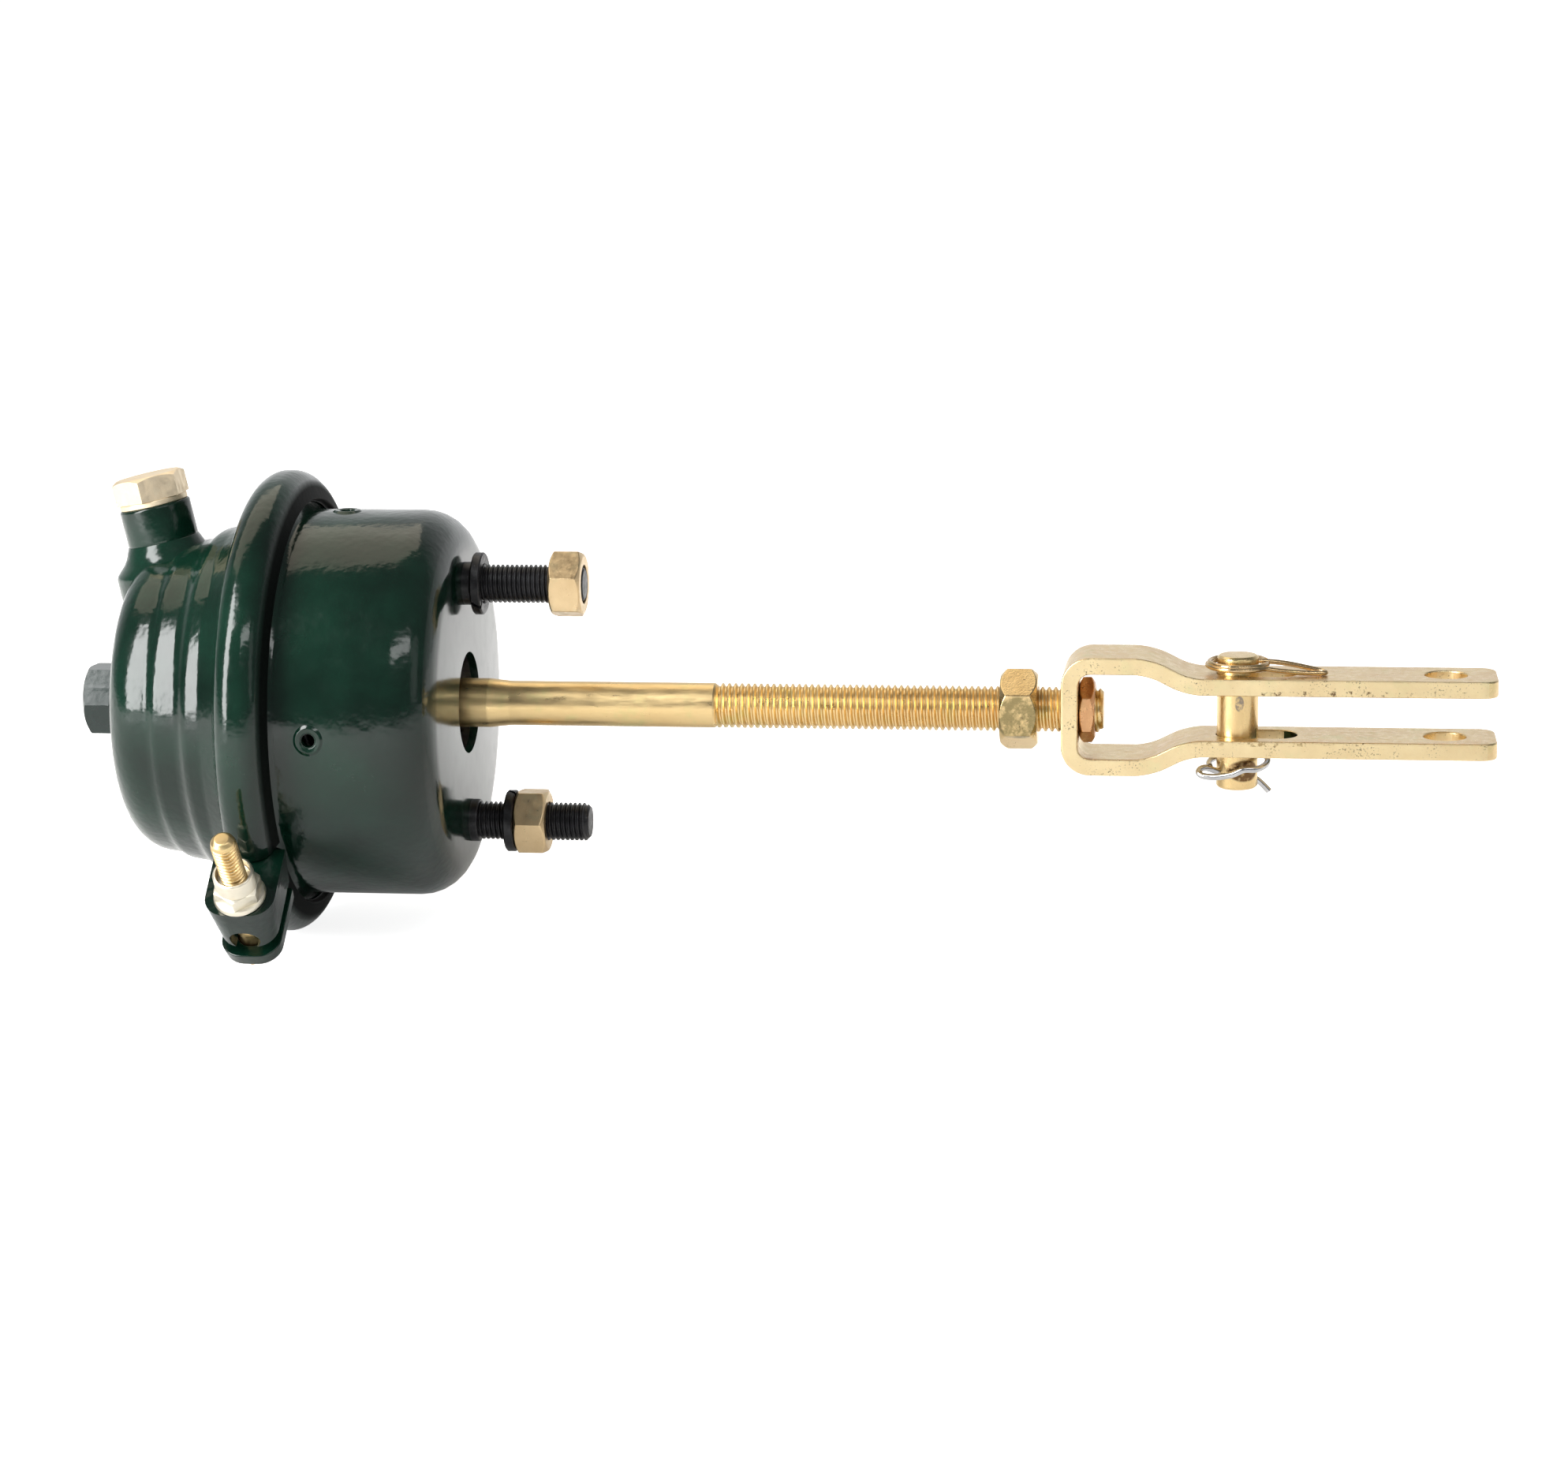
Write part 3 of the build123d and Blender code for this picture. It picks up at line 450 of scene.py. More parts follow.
def turn(degrees, axis):
    return Matrix.Rotation(math.radians(degrees), 4, axis)


def joinInto(bm, other):
    mesh = meshFrom("part", other)
    bm.from_mesh(mesh)
    bpy.data.meshes.remove(mesh)


def cutterObject(name, bm):
    bmesh.ops.recalc_face_normals(bm, faces=bm.faces)
    return addObject(name, meshFrom(name, bm))


def carve(piece, cutters, operation="DIFFERENCE"):
    # applies exact booleans and removes the cutters
    for cutter in cutters:
        tool = piece.modifiers.new("cut", "BOOLEAN")
        tool.operation = operation
        tool.solver = "EXACT"
        tool.object = cutter
    applyModifiers(piece)
    for cutter in cutters:
        bpy.data.objects.remove(cutter)


def evaluatedMesh(thing):
    graph = bpy.context.evaluated_depsgraph_get()
    return bpy.data.meshes.new_from_object(thing.evaluated_get(graph), depsgraph=graph)


def applyModifiers(piece):
    mesh = evaluatedMesh(piece)
    old = piece.data
    piece.modifiers.clear()
    piece.data = mesh
    bpy.data.meshes.remove(old)


def pull(bm, grown, y=0.0, z=0.0):
    # moves what an extrusion has grown
    verts = [v for v in grown["geom"] if isinstance(v, bmesh.types.BMVert)]
    bmesh.ops.translate(bm, vec=(0, y * mm, z * mm), verts=verts)


def cylinderMesh(radius, length, steps=48):
    # a closed cylinder along X from 0
    bm = bmesh.new()
    bmesh.ops.create_cone(bm, cap_ends=True, segments=steps, radius1=radius * mm, radius2=radius * mm,
                          depth=length * mm)
    return moved(bm, turn(90, "Y"), shift(length / 2))


sheet = 2.5
# the last clamp value is how far into the flank the band's painted shade begins, in mm
clamp = {"x": -57.0, "crest": 73.0, "lip": 64.0, "half": 8.75, "slope": math.tan(math.radians(21.0)),
         "bend": 6.5, "sheet": 2.6, "gap": 0.2, "flange": 68.6, "paintedShade": 0.8}
housing = {"r": 60.75, "corner": 14.0, "hole": 16.0, "flangeBend": 3.5, "ventX": -37.0, "ventR": 2.1,
           "ventDepth": 5.0, "rimR": 4.3, "rim": 0.6, "rimFoot": 0.8, "rimSpread": 1.4}
cap = {"depth": 48.5, "corner": 12.0, "wall": 46.8, "bend": 5.5, "root": 60.4, "flangeBend": 3.6,
       "steps": ((15.0, 2.0), (17.5, 3.6), (25.0, 4.8), (28.0, 7.6), (33.0, 8.8))}
capEnd = clamp["x"] - cap["depth"]


def flangeOuter(radius):
    drop = (radius - clamp["lip"]) * clamp["slope"]
    return clamp["half"] - drop - (clamp["sheet"] + clamp["gap"]) / math.cos(math.atan(clamp["slope"]))


def addSheet(piece, thickness):
    wall = piece.modifiers.new("sheet", "SOLIDIFY")
    wall.thickness = thickness * mm
    wall.offset = -1
    wall.use_even_offset = True


def makeNonPressureHousing():
    side = clamp["x"]
    bm = turnedShape([(0, housing["hole"], 0), (0, housing["r"], housing["corner"]),
                      (side + flangeOuter(housing["r"]), housing["r"], housing["flangeBend"]),
                      (side + flangeOuter(clamp["flange"]), clamp["flange"], 0)], 192)
    piece = finishPiece("nonPressureHousing", bm, housingPaint, "non_pressure_housing",
                        middle=(side, 0, 0))
    addSheet(piece, sheet)
    cutters = []
    for quarter in range(4):
        hole = moved(cylinderMesh(housing["ventR"], 8), turn(-90, "Y"),
                     shift(housing["ventX"], 0, housing["r"] - housing["ventDepth"]), turn(90 * quarter, "X"))
        cutters.append(cutterObject("vent", hole))
    carve(piece, cutters)
    piece.data.set_sharp_from_angle(angle=math.radians(35))
    addRidge(piece, 0.35)


def makeVentRims():
    # raised lips pressed up round the four vents
    bm = bmesh.new()
    foot, top, outer, inner = -housing["rimFoot"], housing["rim"], housing["rimR"], housing["ventR"]
    for quarter in range(4):
        rim = turnedShape([(foot, outer + housing["rimSpread"], 0), (0.0, outer + 0.4, 0.8),
                           (top, outer - 0.5, 0.5), (top - 0.2, inner + 0.2, 0.5), (foot, inner, 0)], 40)
        joinInto(bm, moved(rim, turn(-90, "Y"), shift(housing["ventX"], 0, housing["r"] - 0.1),
                           turn(90 * quarter, "X")))
    finishPiece("ventRims", bm, housingPaint, None)


def capCorners():
    side = clamp["x"]
    corners = [(capEnd, 0, 0), (capEnd, cap["wall"], cap["corner"])]
    corners += [(capEnd + along, cap["wall"] + out, cap["bend"]) for along, out in cap["steps"]]
    return corners + [(side - flangeOuter(cap["root"]), cap["root"], cap["flangeBend"]),
                      (side - flangeOuter(clamp["flange"]), clamp["flange"], 0)]


def makePressureHousing():
    bm = turnedShape(capCorners(), 192)
    piece = finishPiece("pressureHousing", bm, housingPaint, "pressure_housing",
                        middle=(clamp["x"], 0, 0))
    addSheet(piece, sheet)


port = {"footX": -85.9, "lean": 12.0, "r": 11.2, "top": 64.15, "padTop": 52.65, "padR": 17.2, "waistR": 13.2,
        "waistDrop": 4.6, "rimDrop": 8.6, "rimBend": 2.6, "waistBend": 9.0, "depth": 24.0, "bore": 8.0}
centreBoss = {"r": 13.0, "height": 6.5, "foot": 16.0, "waist": 13.2, "waistRise": 0.6, "waistBend": 2.0}


def portPlace():
    return shift(port["footX"]) @ turn(-port["lean"], "Y")


def makePortPad():
    # stamped pad that flares up to the boss; what lies inside the bowl is cut away
    top, wall = port["padTop"], sheet
    outline = [(top - port["depth"], port["padR"] - wall, 0), (top - port["depth"], port["padR"], 0),
               (top - port["rimDrop"], port["padR"], port["rimBend"]),
               (top - port["waistDrop"], port["waistR"], port["waistBend"]), (top, port["r"], 0.6),
               (top, port["r"] - wall, 0), (top - port["rimDrop"], port["padR"] - wall, 0),
               (top - port["depth"], port["padR"] - wall, 0)]
    pad = moved(turnedShape(outline, 144), turn(-90, "Y"), portPlace())
    piece = finishPiece("portPad", pad, housingPaint, None, sharp=50)
    inside = [(x + wall * (x < capEnd + 1), max(0, r - wall * 0.8), b) for x, r, b in capCorners()[:-1]]
    inside.append((clamp["x"], cap["root"] - wall, 0))
    carve(piece, [cutterObject("bowlInside", turnedShape(inside + [(clamp["x"], 0, 0)], 144))])
    piece.data.set_sharp_from_angle(angle=math.radians(50))


def makePortBosses():
    foot, top, bore = port["padTop"], port["top"], port["bore"]
    side = turnedShape([(foot - 1, port["r"] - 0.2, 0), (foot + 0.4, port["r"], 0.4), (top, port["r"], 0.9),
                        (top, bore, 0.4), (foot - 1, bore, 0)], 72)
    moved(side, turn(-90, "Y"), portPlace())
    finishPiece("sidePortBoss", side, housingPaint, "side_port_boss")
    face = capEnd - centreBoss["height"]
    centre = turnedShape([(capEnd + 1, centreBoss["foot"], 0),
                          (capEnd - centreBoss["waistRise"], centreBoss["waist"], centreBoss["waistBend"]),
                          (face, centreBoss["r"], 1.0), (face, bore, 0.4), (capEnd + 1, bore, 0)], 72)
    finishPiece("centrePortBoss", centre, housingPaint, "centre_port_boss")


makePressureHousing()
makeNonPressureHousing()
makeVentRims()
makePortPad()
makePortBosses()
print("housings made")


def hexShape(acrossFlats, start, end, bore=0.0, crownStart=True, crownEnd=True, dish=0.93, slope=30,
             steps=96):
    # hexagon along X whose corners are turned off at the given slope; a bore is optional
    bm = bmesh.new()
    flat = acrossFlats / 2
    faceR = flat * dish
    drop = math.tan(math.radians(slope))
    columns = []
    for i in range(steps):
        angle = 2 * math.pi * i / steps
        outer = flat / math.cos((angle % (math.pi / 3)) - math.pi / 6)
        cut = max(0.0, outer - faceR) * drop
        low = start + (cut if crownStart else 0.0)
        high = end - (cut if crownEnd else 0.0)
        line = ((bore, start), (faceR if crownStart else outer, start), (outer, low), (outer, high),
                (faceR if crownEnd else outer, end), (bore, end))
        columns.append([(x * mm, math.sin(angle) * r * mm, math.cos(angle) * r * mm) for r, x in line])
    rings = [[bm.verts.new(spot) for spot in ring] for ring in zip(*columns)]
    if bore:
        rings.append(rings[0])
    for ring, following in zip(rings, rings[1:]):
        for i in range(steps):
            j = (i + 1) % steps
            bm.faces.new((ring[i], ring[j], following[j], following[i]))
    bmesh.ops.remove_doubles(bm, verts=bm.verts, dist=1e-6)
    bmesh.ops.dissolve_degenerate(bm, edges=bm.edges, dist=1e-7)
    return bm


def threadShape(start, end, major, pitch, tip=1.2, foot=0.0, steps=36):
    # one V rib wound round X, over a core, with its last turns chamfered
    bm = bmesh.new()
    minor = major - 0.50 * pitch
    profile = [(0, minor), (0.10, minor), (0.38, major), (0.62, major), (0.90, minor), (1.0, minor)]
    chain(bm, [bm.verts.new((share * pitch * mm, 0, radius * mm)) for share, radius in profile])
    turns = math.ceil((end - start) / pitch) + 1
    spinX(bm, steps * turns, 2 * math.pi * turns, pitch * mm / steps, merge=False)
    moved(bm, shift(start - pitch))
    bmesh.ops.remove_doubles(bm, verts=bm.verts, dist=2e-6)
    for x, side in ((start, -1), (end, 1)):
        bmesh.ops.bisect_plane(bm, geom=bm.verts[:] + bm.edges[:] + bm.faces[:], plane_co=(x * mm, 0, 0),
                               plane_no=(side, 0, 0), clear_outer=True)
    for vert in bm.verts:
        x = vert.co.x / mm
        radius = math.hypot(vert.co.y, vert.co.z) / mm
        limit = major - max(0.0, tip - (end - x)) if tip else major
        limit = min(limit, major - max(0.0, foot - (x - start))) if foot else limit
        if radius > limit:
            vert.co.y *= limit / radius
            vert.co.z *= limit / radius
    return bm


def endCap(x, radius, core, bend=0.3):
    # the flat end of a threaded rod, closed back to its core
    return turnedShape([(x - 3, core, 0), (x - 0.02, radius, bend), (x - 0.02, 0, 0)], 48)


studs = {"spacing": 76.2, "r": 6.0, "pitch": 1.5, "length": 38.0, "neckR": 6.75, "neck": 2.6,
         "headBack": -11.0, "headFront": -6.5, "headR": 8.0, "capR": 4.75, "core": 4.9,
         "nutFlats": 19.0, "nutHeight": 10.2, "upperNut": 27.6, "lowerNut": 14.5,
         "washerR": 9.75, "washer": 3.0, "upperWasher": 3.1, "lowerWasher": 11.4, "washerTurn": 352.0,
         "slant": 0.25}


def makeStuds():
    for name, side in (("upper", 1), ("lower", -1)):
        bm = threadShape(studs["neck"] - 0.4, studs["length"], studs["r"], studs["pitch"], tip=1.3)
        back, front, neck = studs["headBack"], studs["headFront"], studs["neck"]
        joinInto(bm, turnedShape([(back, 0, 0), (back, studs["headR"], 0.6), (front, studs["headR"], 0),
                                  (front, studs["neckR"], 0), (neck, studs["neckR"], 0.5),
                                  (neck, 5.0, 0)], 64))
        joinInto(bm, endCap(studs["length"], studs["capR"], studs["core"]))
        moved(bm, shift(0, 0, side * studs["spacing"] / 2))
        finishPiece(name + "Stud", bm, blackSteel, name + "_mounting_stud", sharp=28)


def makeWashers():
    # spring washers: a square ring whose slanted split stands slightly open
    for name, side, x in (("upper", 1, studs["upperWasher"]), ("lower", -1, studs["lowerWasher"])):
        bm = bmesh.new()
        inner, outer, wide = studs["r"] + 0.2, studs["washerR"], studs["washer"]
        ring = [bm.verts.new((p * mm, 0, q * mm)) for p, q in
                ((0.3, inner), (0, inner + 0.3), (0, outer - 0.4), (0.4, outer), (wide - 0.4, outer),
                 (wide, outer - 0.4), (wide, inner + 0.3), (wide - 0.3, inner))]
        chain(bm, ring + ring[:1])
        bm.faces.new(ring)
        spinX(bm, 72, math.radians(studs["washerTurn"]), merge=False)
        for vert in bm.verts:
            if math.hypot(vert.co.y, vert.co.z) > 0:
                slant = vert.co.x / (wide * mm) - 0.5
                vert.co = Matrix.Rotation(studs["slant"] * slant, 3, "X") @ vert.co
        bmesh.ops.holes_fill(bm, edges=[e for e in bm.edges if e.is_boundary], sides=12)
        moved(bm, turn(70 + side * 60, "X"), shift(x, 0, side * studs["spacing"] / 2))
        finishPiece(name + "Washer", bm, blackSteel, name + "_stud_washer", sharp=30)


def makeStudNuts():
    for name, side, x, twist in (("upper", 1, studs["upperNut"], 12), ("lower", -1, studs["lowerNut"], 25)):
        bm = hexShape(studs["nutFlats"], 0, studs["nutHeight"], bore=studs["r"] + 0.05)
        moved(bm, turn(twist, "X"), shift(x, 0, side * studs["spacing"] / 2))
        finishPiece(name + "StudNut", bm, paleZinc, name + "_stud_nut", sharp=28,
                    ridge=0.25)


makeStuds()
makeWashers()
makeStudNuts()
print("studs made")

plugs = {"flats": 20.6, "hex": 7.6, "centreHex": 9.0, "collar": 1.8, "lip": 0.4, "collarInner": 9.0,
         "threadR": 7.9, "thread": 5.0, "dish": 0.97}


def plugShape(hexHeight):
    collar, collarR = plugs["collar"], plugs["flats"] / 2 + plugs["lip"]
    bm = turnedShape([(-plugs["thread"], plugs["threadR"], 0), (0, plugs["threadR"], 0), (0, collarR, 0.3),
                      (collar, collarR, 0.4), (collar, plugs["collarInner"], 0)], 72)
    joinInto(bm, hexShape(plugs["flats"], collar, collar + hexHeight, crownStart=False, dish=plugs["dish"]))
    return bm


def makePlugs():
    side = moved(plugShape(plugs["hex"]), turn(30, "X"), turn(-90, "Y"), shift(0, 0, port["top"]),
                 portPlace())
    finishPiece("sidePortPlug", side, plugZinc, "side_port_plug", sharp=28,
                ridge=0.25)
    centre = moved(plugShape(plugs["centreHex"]), turn(30, "X"), turn(180, "Z"),
                   shift(capEnd - centreBoss["height"]))
    finishPiece("centrePortPlug", centre, plugPaint, "centre_port_plug", sharp=28,
                ridge=0.35)


makePlugs()

rod = {"r": 7.0, "rootR": 7.7, "rootEnd": 7.0, "taperEnd": 14.0, "thread": 78.0, "pitch": 2.0, "end": 199.8,
       "back": -96.4, "groove": 1.16, "capR": 5.7, "core": 5.8, "clear": 0.05, "jamNut": 168.0,
       "jamFlats": 22.0, "jamHeight": 11.6, "jamDish": 0.97, "jamSlope": 46, "lockFlats": 18.0,
       "lockHeight": 4.9, "lockGap": 0.1}


def makePushRod():
    bm = threadShape(rod["thread"], rod["end"], rod["r"], rod["pitch"], tip=1.3, foot=1.6)
    joinInto(bm, turnedShape([(rod["back"], 0, 0), (rod["back"], rod["rootR"], 0),
                              (rod["rootEnd"], rod["rootR"], 3), (rod["taperEnd"], rod["r"], 3),
                              (rod["thread"] + 0.4, rod["r"], 0),
                              (rod["thread"] + 2.0, rod["r"] - rod["groove"], 0)], 96))
    joinInto(bm, endCap(rod["end"], rod["capR"], rod["core"]))
    finishPiece("pushRod", bm, turnedZinc, "push_rod", sharp=28, body="push_rod")


def makeRodNuts():
    bore = rod["r"] + rod["clear"]
    jam = hexShape(rod["jamFlats"], 0, rod["jamHeight"], bore=bore, dish=rod["jamDish"],
                   slope=rod["jamSlope"])
    moved(jam, shift(rod["jamNut"]))
    finishPiece("rodJamNut", jam, jamZinc, "rod_jam_nut", sharp=28, ridge=0.3,
                body="push_rod")
    lock = hexShape(rod["lockFlats"], 0, rod["lockHeight"], bore=bore)
    moved(lock, shift(yoke["web"] + yoke["strap"] + rod["lockGap"]))
    finishPiece("yokeLockNut", lock, roseZinc, "yoke_lock_nut", sharp=28, ridge=0.25,
                body="push_rod")


yoke = {"web": 187.1, "strap": 5.2, "width": 24.0, "box": 18.4, "leg": 12.2, "webBend": 9.0, "bend": 22.0,
        "bendStart": 214.5, "bendEnd": 226.7, "end": 319.5, "tip": 5.0, "slotStart": 234.4, "slotEnd": 259.2,
        "slotR": 6.5, "holeX": 304.0, "holeR": 6.5, "cut": 60.0, "tipSpare": 3.0}


def slotCutter(start, end, radius):
    bm = bmesh.new()
    bmesh.ops.create_circle(bm, cap_ends=True, segments=48, radius=radius * mm)
    for vert in bm.verts:
        vert.co.x += (end - start - 2 * radius) * mm * (1 if vert.co.x > 1e-6 else 0)
    moved(bm, shift(start + radius, 0, -yoke["cut"] / 2))
    pull(bm, bmesh.ops.extrude_face_region(bm, geom=bm.faces[:]), z=yoke["cut"])
    return cutterObject("slot", bm)


def makeYoke():
    bm = bmesh.new()
    z, leg = yoke["box"], yoke["leg"]
    inner = yoke["bend"] - yoke["strap"]
    upper = [(yoke["web"], z, yoke["webBend"]), (yoke["bendStart"], z, yoke["bend"]),
             (yoke["bendEnd"], leg, inner), (yoke["end"], leg, 0)]
    corners = [(x, -r, b) for x, r, b in reversed(upper)] + upper
    bentWire(bm, corners, 10)
    pull(bm, bmesh.ops.extrude_edge_only(bm, edges=bm.edges[:]), y=yoke["width"])
    moved(bm, shift(0, -yoke["width"] / 2))
    bmesh.ops.recalc_face_normals(bm, faces=bm.faces)
    web = min(bm.faces, key=lambda f: f.calc_center_median().x)
    if web.normal.x > 0:
        bmesh.ops.reverse_faces(bm, faces=bm.faces)
    mesh = meshFrom("clevisYoke", bm)
    mesh.shade_smooth()
    piece = addObject("clevisYoke", mesh)
    addSheet(piece, yoke["strap"])
    applyModifiers(piece)
    cutters = [slotCutter(yoke["slotStart"], yoke["slotEnd"], yoke["slotR"]),
               slotCutter(yoke["holeX"] - yoke["holeR"], yoke["holeX"] + yoke["holeR"], yoke["holeR"]),
               cutterObject("bore", moved(cylinderMesh(rod["r"] + rod["clear"], 20), shift(yoke["web"] - 8)))]
    cutters += [cutterObject("tip", tipCutter(side)) for side in (-1, 1)]
    carve(piece, cutters)
    shaped = piece.data
    shaped.materials.clear()
    shaped.materials.append(strapZinc)
    shaped.materials.append(shearedZinc)  # on the strap's cut edges
    for face in shaped.polygons:
        face.material_index = 1 if abs(face.normal.y) > 0.9 else 0
        face.use_smooth = True
    shaped.set_sharp_from_angle(angle=math.radians(30))
    addRidge(piece, 0.55, 30)
    assign(piece, "push_rod", "clevis_yoke")


def tipCutter(side):
    # what lies outside one rounded corner of the legs' ends
    bm = bmesh.new()
    r = yoke["tip"]
    x, y = yoke["end"] - r, side * (yoke["width"] / 2 - r)
    far = r + yoke["tipSpare"]
    arc = [(x + r * math.cos(a), y + side * r * math.sin(a)) for a in [math.pi / 2 * i / 8 for i in range(9)]]
    outline = arc + [(x, y + side * far), (x + far, y + side * far), (x + far, y)]
    bm.faces.new([bm.verts.new((p * mm, q * mm, -yoke["cut"] / 2 * mm)) for p, q in outline])
    pull(bm, bmesh.ops.extrude_face_region(bm, geom=bm.faces[:]), z=yoke["cut"])
    return bm


makePushRod()
makeRodNuts()
makeYoke()
print("rod and yoke made")

pin = {"x": 240.9, "r": 6.35, "top": 17.8, "bottom": -23.7, "chamfer": 0.7}
clips = {"upperWire": 0.8, "lowerWire": 1.0, "wide": 9.75, "narrow": 8.5, "upperZ": 12.2, "lowerZ": -18.6}


def ringPoints(start, sweep, low, high, wide, narrow, steps=40):
    # coil about the pin, climbing and closing evenly from one height and radius to the other
    points = []
    for i in range(steps + 1):
        share = i / steps
        angle = math.radians(start + sweep * share)
        radius = wide + (narrow - wide) * share
        points.append((radius * math.cos(angle), radius * math.sin(angle), low + (high - low) * share))
    return points


def makePin():
    low, high, edge = pin["bottom"], pin["top"], pin["chamfer"]
    bm = turnedShape([(low, 0, 0), (low, pin["r"] - edge, 0.3), (low + edge, pin["r"], 0.4),
                      (high - edge, pin["r"], 0.4), (high, pin["r"] - edge, 0.3), (high, 0, 0)], 72)
    moved(bm, turn(-90, "Y"), shift(pin["x"]))
    finishPiece("clevisPin", bm, pinZinc, "clevis_pin", body="clevis_pin")


def clipWire(name, finish, radius, level, points, node):
    # round wire through points counted from the pin's axis at a level
    place = shift(pin["x"], 0, level)
    curve = bpy.data.curves.new(name, "CURVE")
    curve.dimensions = "3D"
    curve.bevel_depth = radius * mm
    curve.bevel_resolution = 5
    curve.resolution_u = 8
    curve.use_fill_caps = True
    line = curve.splines.new("NURBS")
    line.points.add(len(points) - 1)
    for spot, point in zip(line.points, points):
        spot.co = (*(place @ Vector([c * mm for c in point])), 1)
    line.order_u = 4
    line.use_endpoint_u = True
    wire = addObject(name + "Path", curve)
    mesh = evaluatedMesh(wire)
    bpy.data.objects.remove(wire)
    mesh.name = name
    mesh.materials.clear()
    mesh.materials.append(finish)
    mesh.shade_smooth()
    piece = addObject(name, mesh)
    assign(piece, "clevis_pin", node)


def makeClips():
    # upper: leg from the pin's hole, hairpin lying down on the yoke, back and round the pin
    leg = [(0, 0, 3.6), (9, 1.2, 3.6), (16, 0.6, 2.8), (23, -0.8, 1.5)]
    hairpin = [(26.2, -1.6, 1.0), (27.0, -3.2, 0.9), (25.6, -4.6, 0.9), (20, -4.8, 1.0), (14.5, -5.0, 1.3),
               (10.6, -5.0, 1.8)]
    upper = leg + hairpin + ringPoints(-32, -680, 2.2, 3.7, clips["wide"], clips["narrow"])
    clipWire("upperClip", clipZinc, clips["upperWire"], clips["upperZ"], upper, "upper_pin_clip")
    # lower: bent tail, leg through the pin, upright hairpin on the left, kinked front, ring behind the pin
    tail = [(9.9, 2.0, -6.8), (7.6, 1.8, -4.3), (5.2, 1.5, -1.9), (0, 0, -0.8), (-5.7, -3.0, 0.0)]
    hairpin = [(-8.0, -4.5, 1.4), (-10.1, -5.5, 2.2), (-12.0, -6.5, 1.2), (-11.2, -7.5, -0.45),
               (-5.9, -9.0, -0.35)]
    kink = [(-2.2, -9.8, 0.5), (-0.3, -10.0, 1.1), (2.2, -10.2, 2.7), (4.6, -9.8, 2.3), (6.8, -8.6, 2.4)]
    behind = [(9.2, -5.0, 3.1), (9.7, -0.8, 3.9), (7.6, 5.4, 4.6), (0, 9.4, 4.4), (-6.4, 6.6, 3.2),
              (-9.4, 1.2, 2.1), (-8.3, -2.5, 1.7)]
    clipWire("lowerClip", brightWire, clips["lowerWire"], clips["lowerZ"], tail + hairpin + kink + behind,
             "lower_pin_clip")


makePin()
makeClips()
print("pin and clips made")

lug = {"angle": 51.0, "split": 3.0, "splitAt": -8.5, "axis": 84.4, "bolt": 4.0, "tip": 37.5, "seat": 9.5,
       "headSeat": -11.6, "hoodEnd": -14.8, "sheet": 3.0, "corner": 7.0, "top": 66.6, "neck": (8.9, 7.2),
       "end": (10.8, 7.6), "head": (9.4, 8.6), "hood": (9.0, 8.1), "hoodSheet": 1.6, "window": 9.4,
       "windowR": 4.1, "windowDrop": 13.4, "windowDeep": 0.2, "plateClear": 0.3, "boltClear": 0.5}


def atLug():
    # drawn hanging straight down with the bolt's free end along +Y
    return turn(-lug["angle"], "X") @ shift(clamp["x"]) @ turn(180, "Z")


def onBolt():
    return atLug() @ shift(0, 0, -lug["axis"]) @ turn(90, "Z")


def earOutline(size, wall=0.0, steps=8):
    # half a U open to the band, from its left foot to its right one
    half, drop, corner = size[0] - wall, lug["axis"] + size[1] - wall, lug["corner"] - wall
    points = [(-half, -lug["top"])]
    for side, start in ((-1, math.pi), (1, 1.5 * math.pi)):
        for i in range(steps + 1):
            a = start + math.pi / 2 * i / steps
            points.append((side * (half - corner) + corner * math.cos(a),
                           -drop + corner + corner * math.sin(a)))
    return points + [(half, -lug["top"])]


def earShape(name, neckAt, neck, endAt, end, seatAt, wall):
    # formed hood between two sections, with its load plate at the seat
    bm = bmesh.new()
    rings = []
    for place, size, inset in ((neckAt, neck, 0), (endAt, end, 0), (endAt, end, wall), (neckAt, neck, wall)):
        rings.append([bm.verts.new((x * mm, place * mm, z * mm)) for x, z in earOutline(size, inset)])
    for ring, following in zip(rings, rings[1:] + rings[:1]):
        for i in range(len(ring) - 1):
            bm.faces.new((ring[i], ring[i + 1], following[i + 1], following[i]))
    bm.faces.new([ring[0] for ring in rings])
    bm.faces.new([ring[-1] for ring in rings])
    hood = cutterObject(name, bm)
    share = (seatAt - neckAt) / (endAt - neckAt)
    size = [a + (b - a) * share - lug["plateClear"] for a, b in zip(neck, end)]
    plate = bmesh.new()
    back = seatAt - math.copysign(wall, endAt - neckAt)
    plate.faces.new([plate.verts.new((x * mm, seatAt * mm, z * mm)) for x, z in earOutline(size)])
    pull(plate, bmesh.ops.extrude_face_region(plate, geom=plate.faces[:]), y=back - seatAt)
    hole = moved(cylinderMesh(lug["bolt"] + lug["boltClear"], 3 * wall), turn(90, "Z"),
                 shift(0, seatAt - 1.5 * wall, -lug["axis"]))
    carve(hood, [cutterObject("plate", plate)], "UNION")
    carve(hood, [cutterObject("hole", hole)])
    return hood


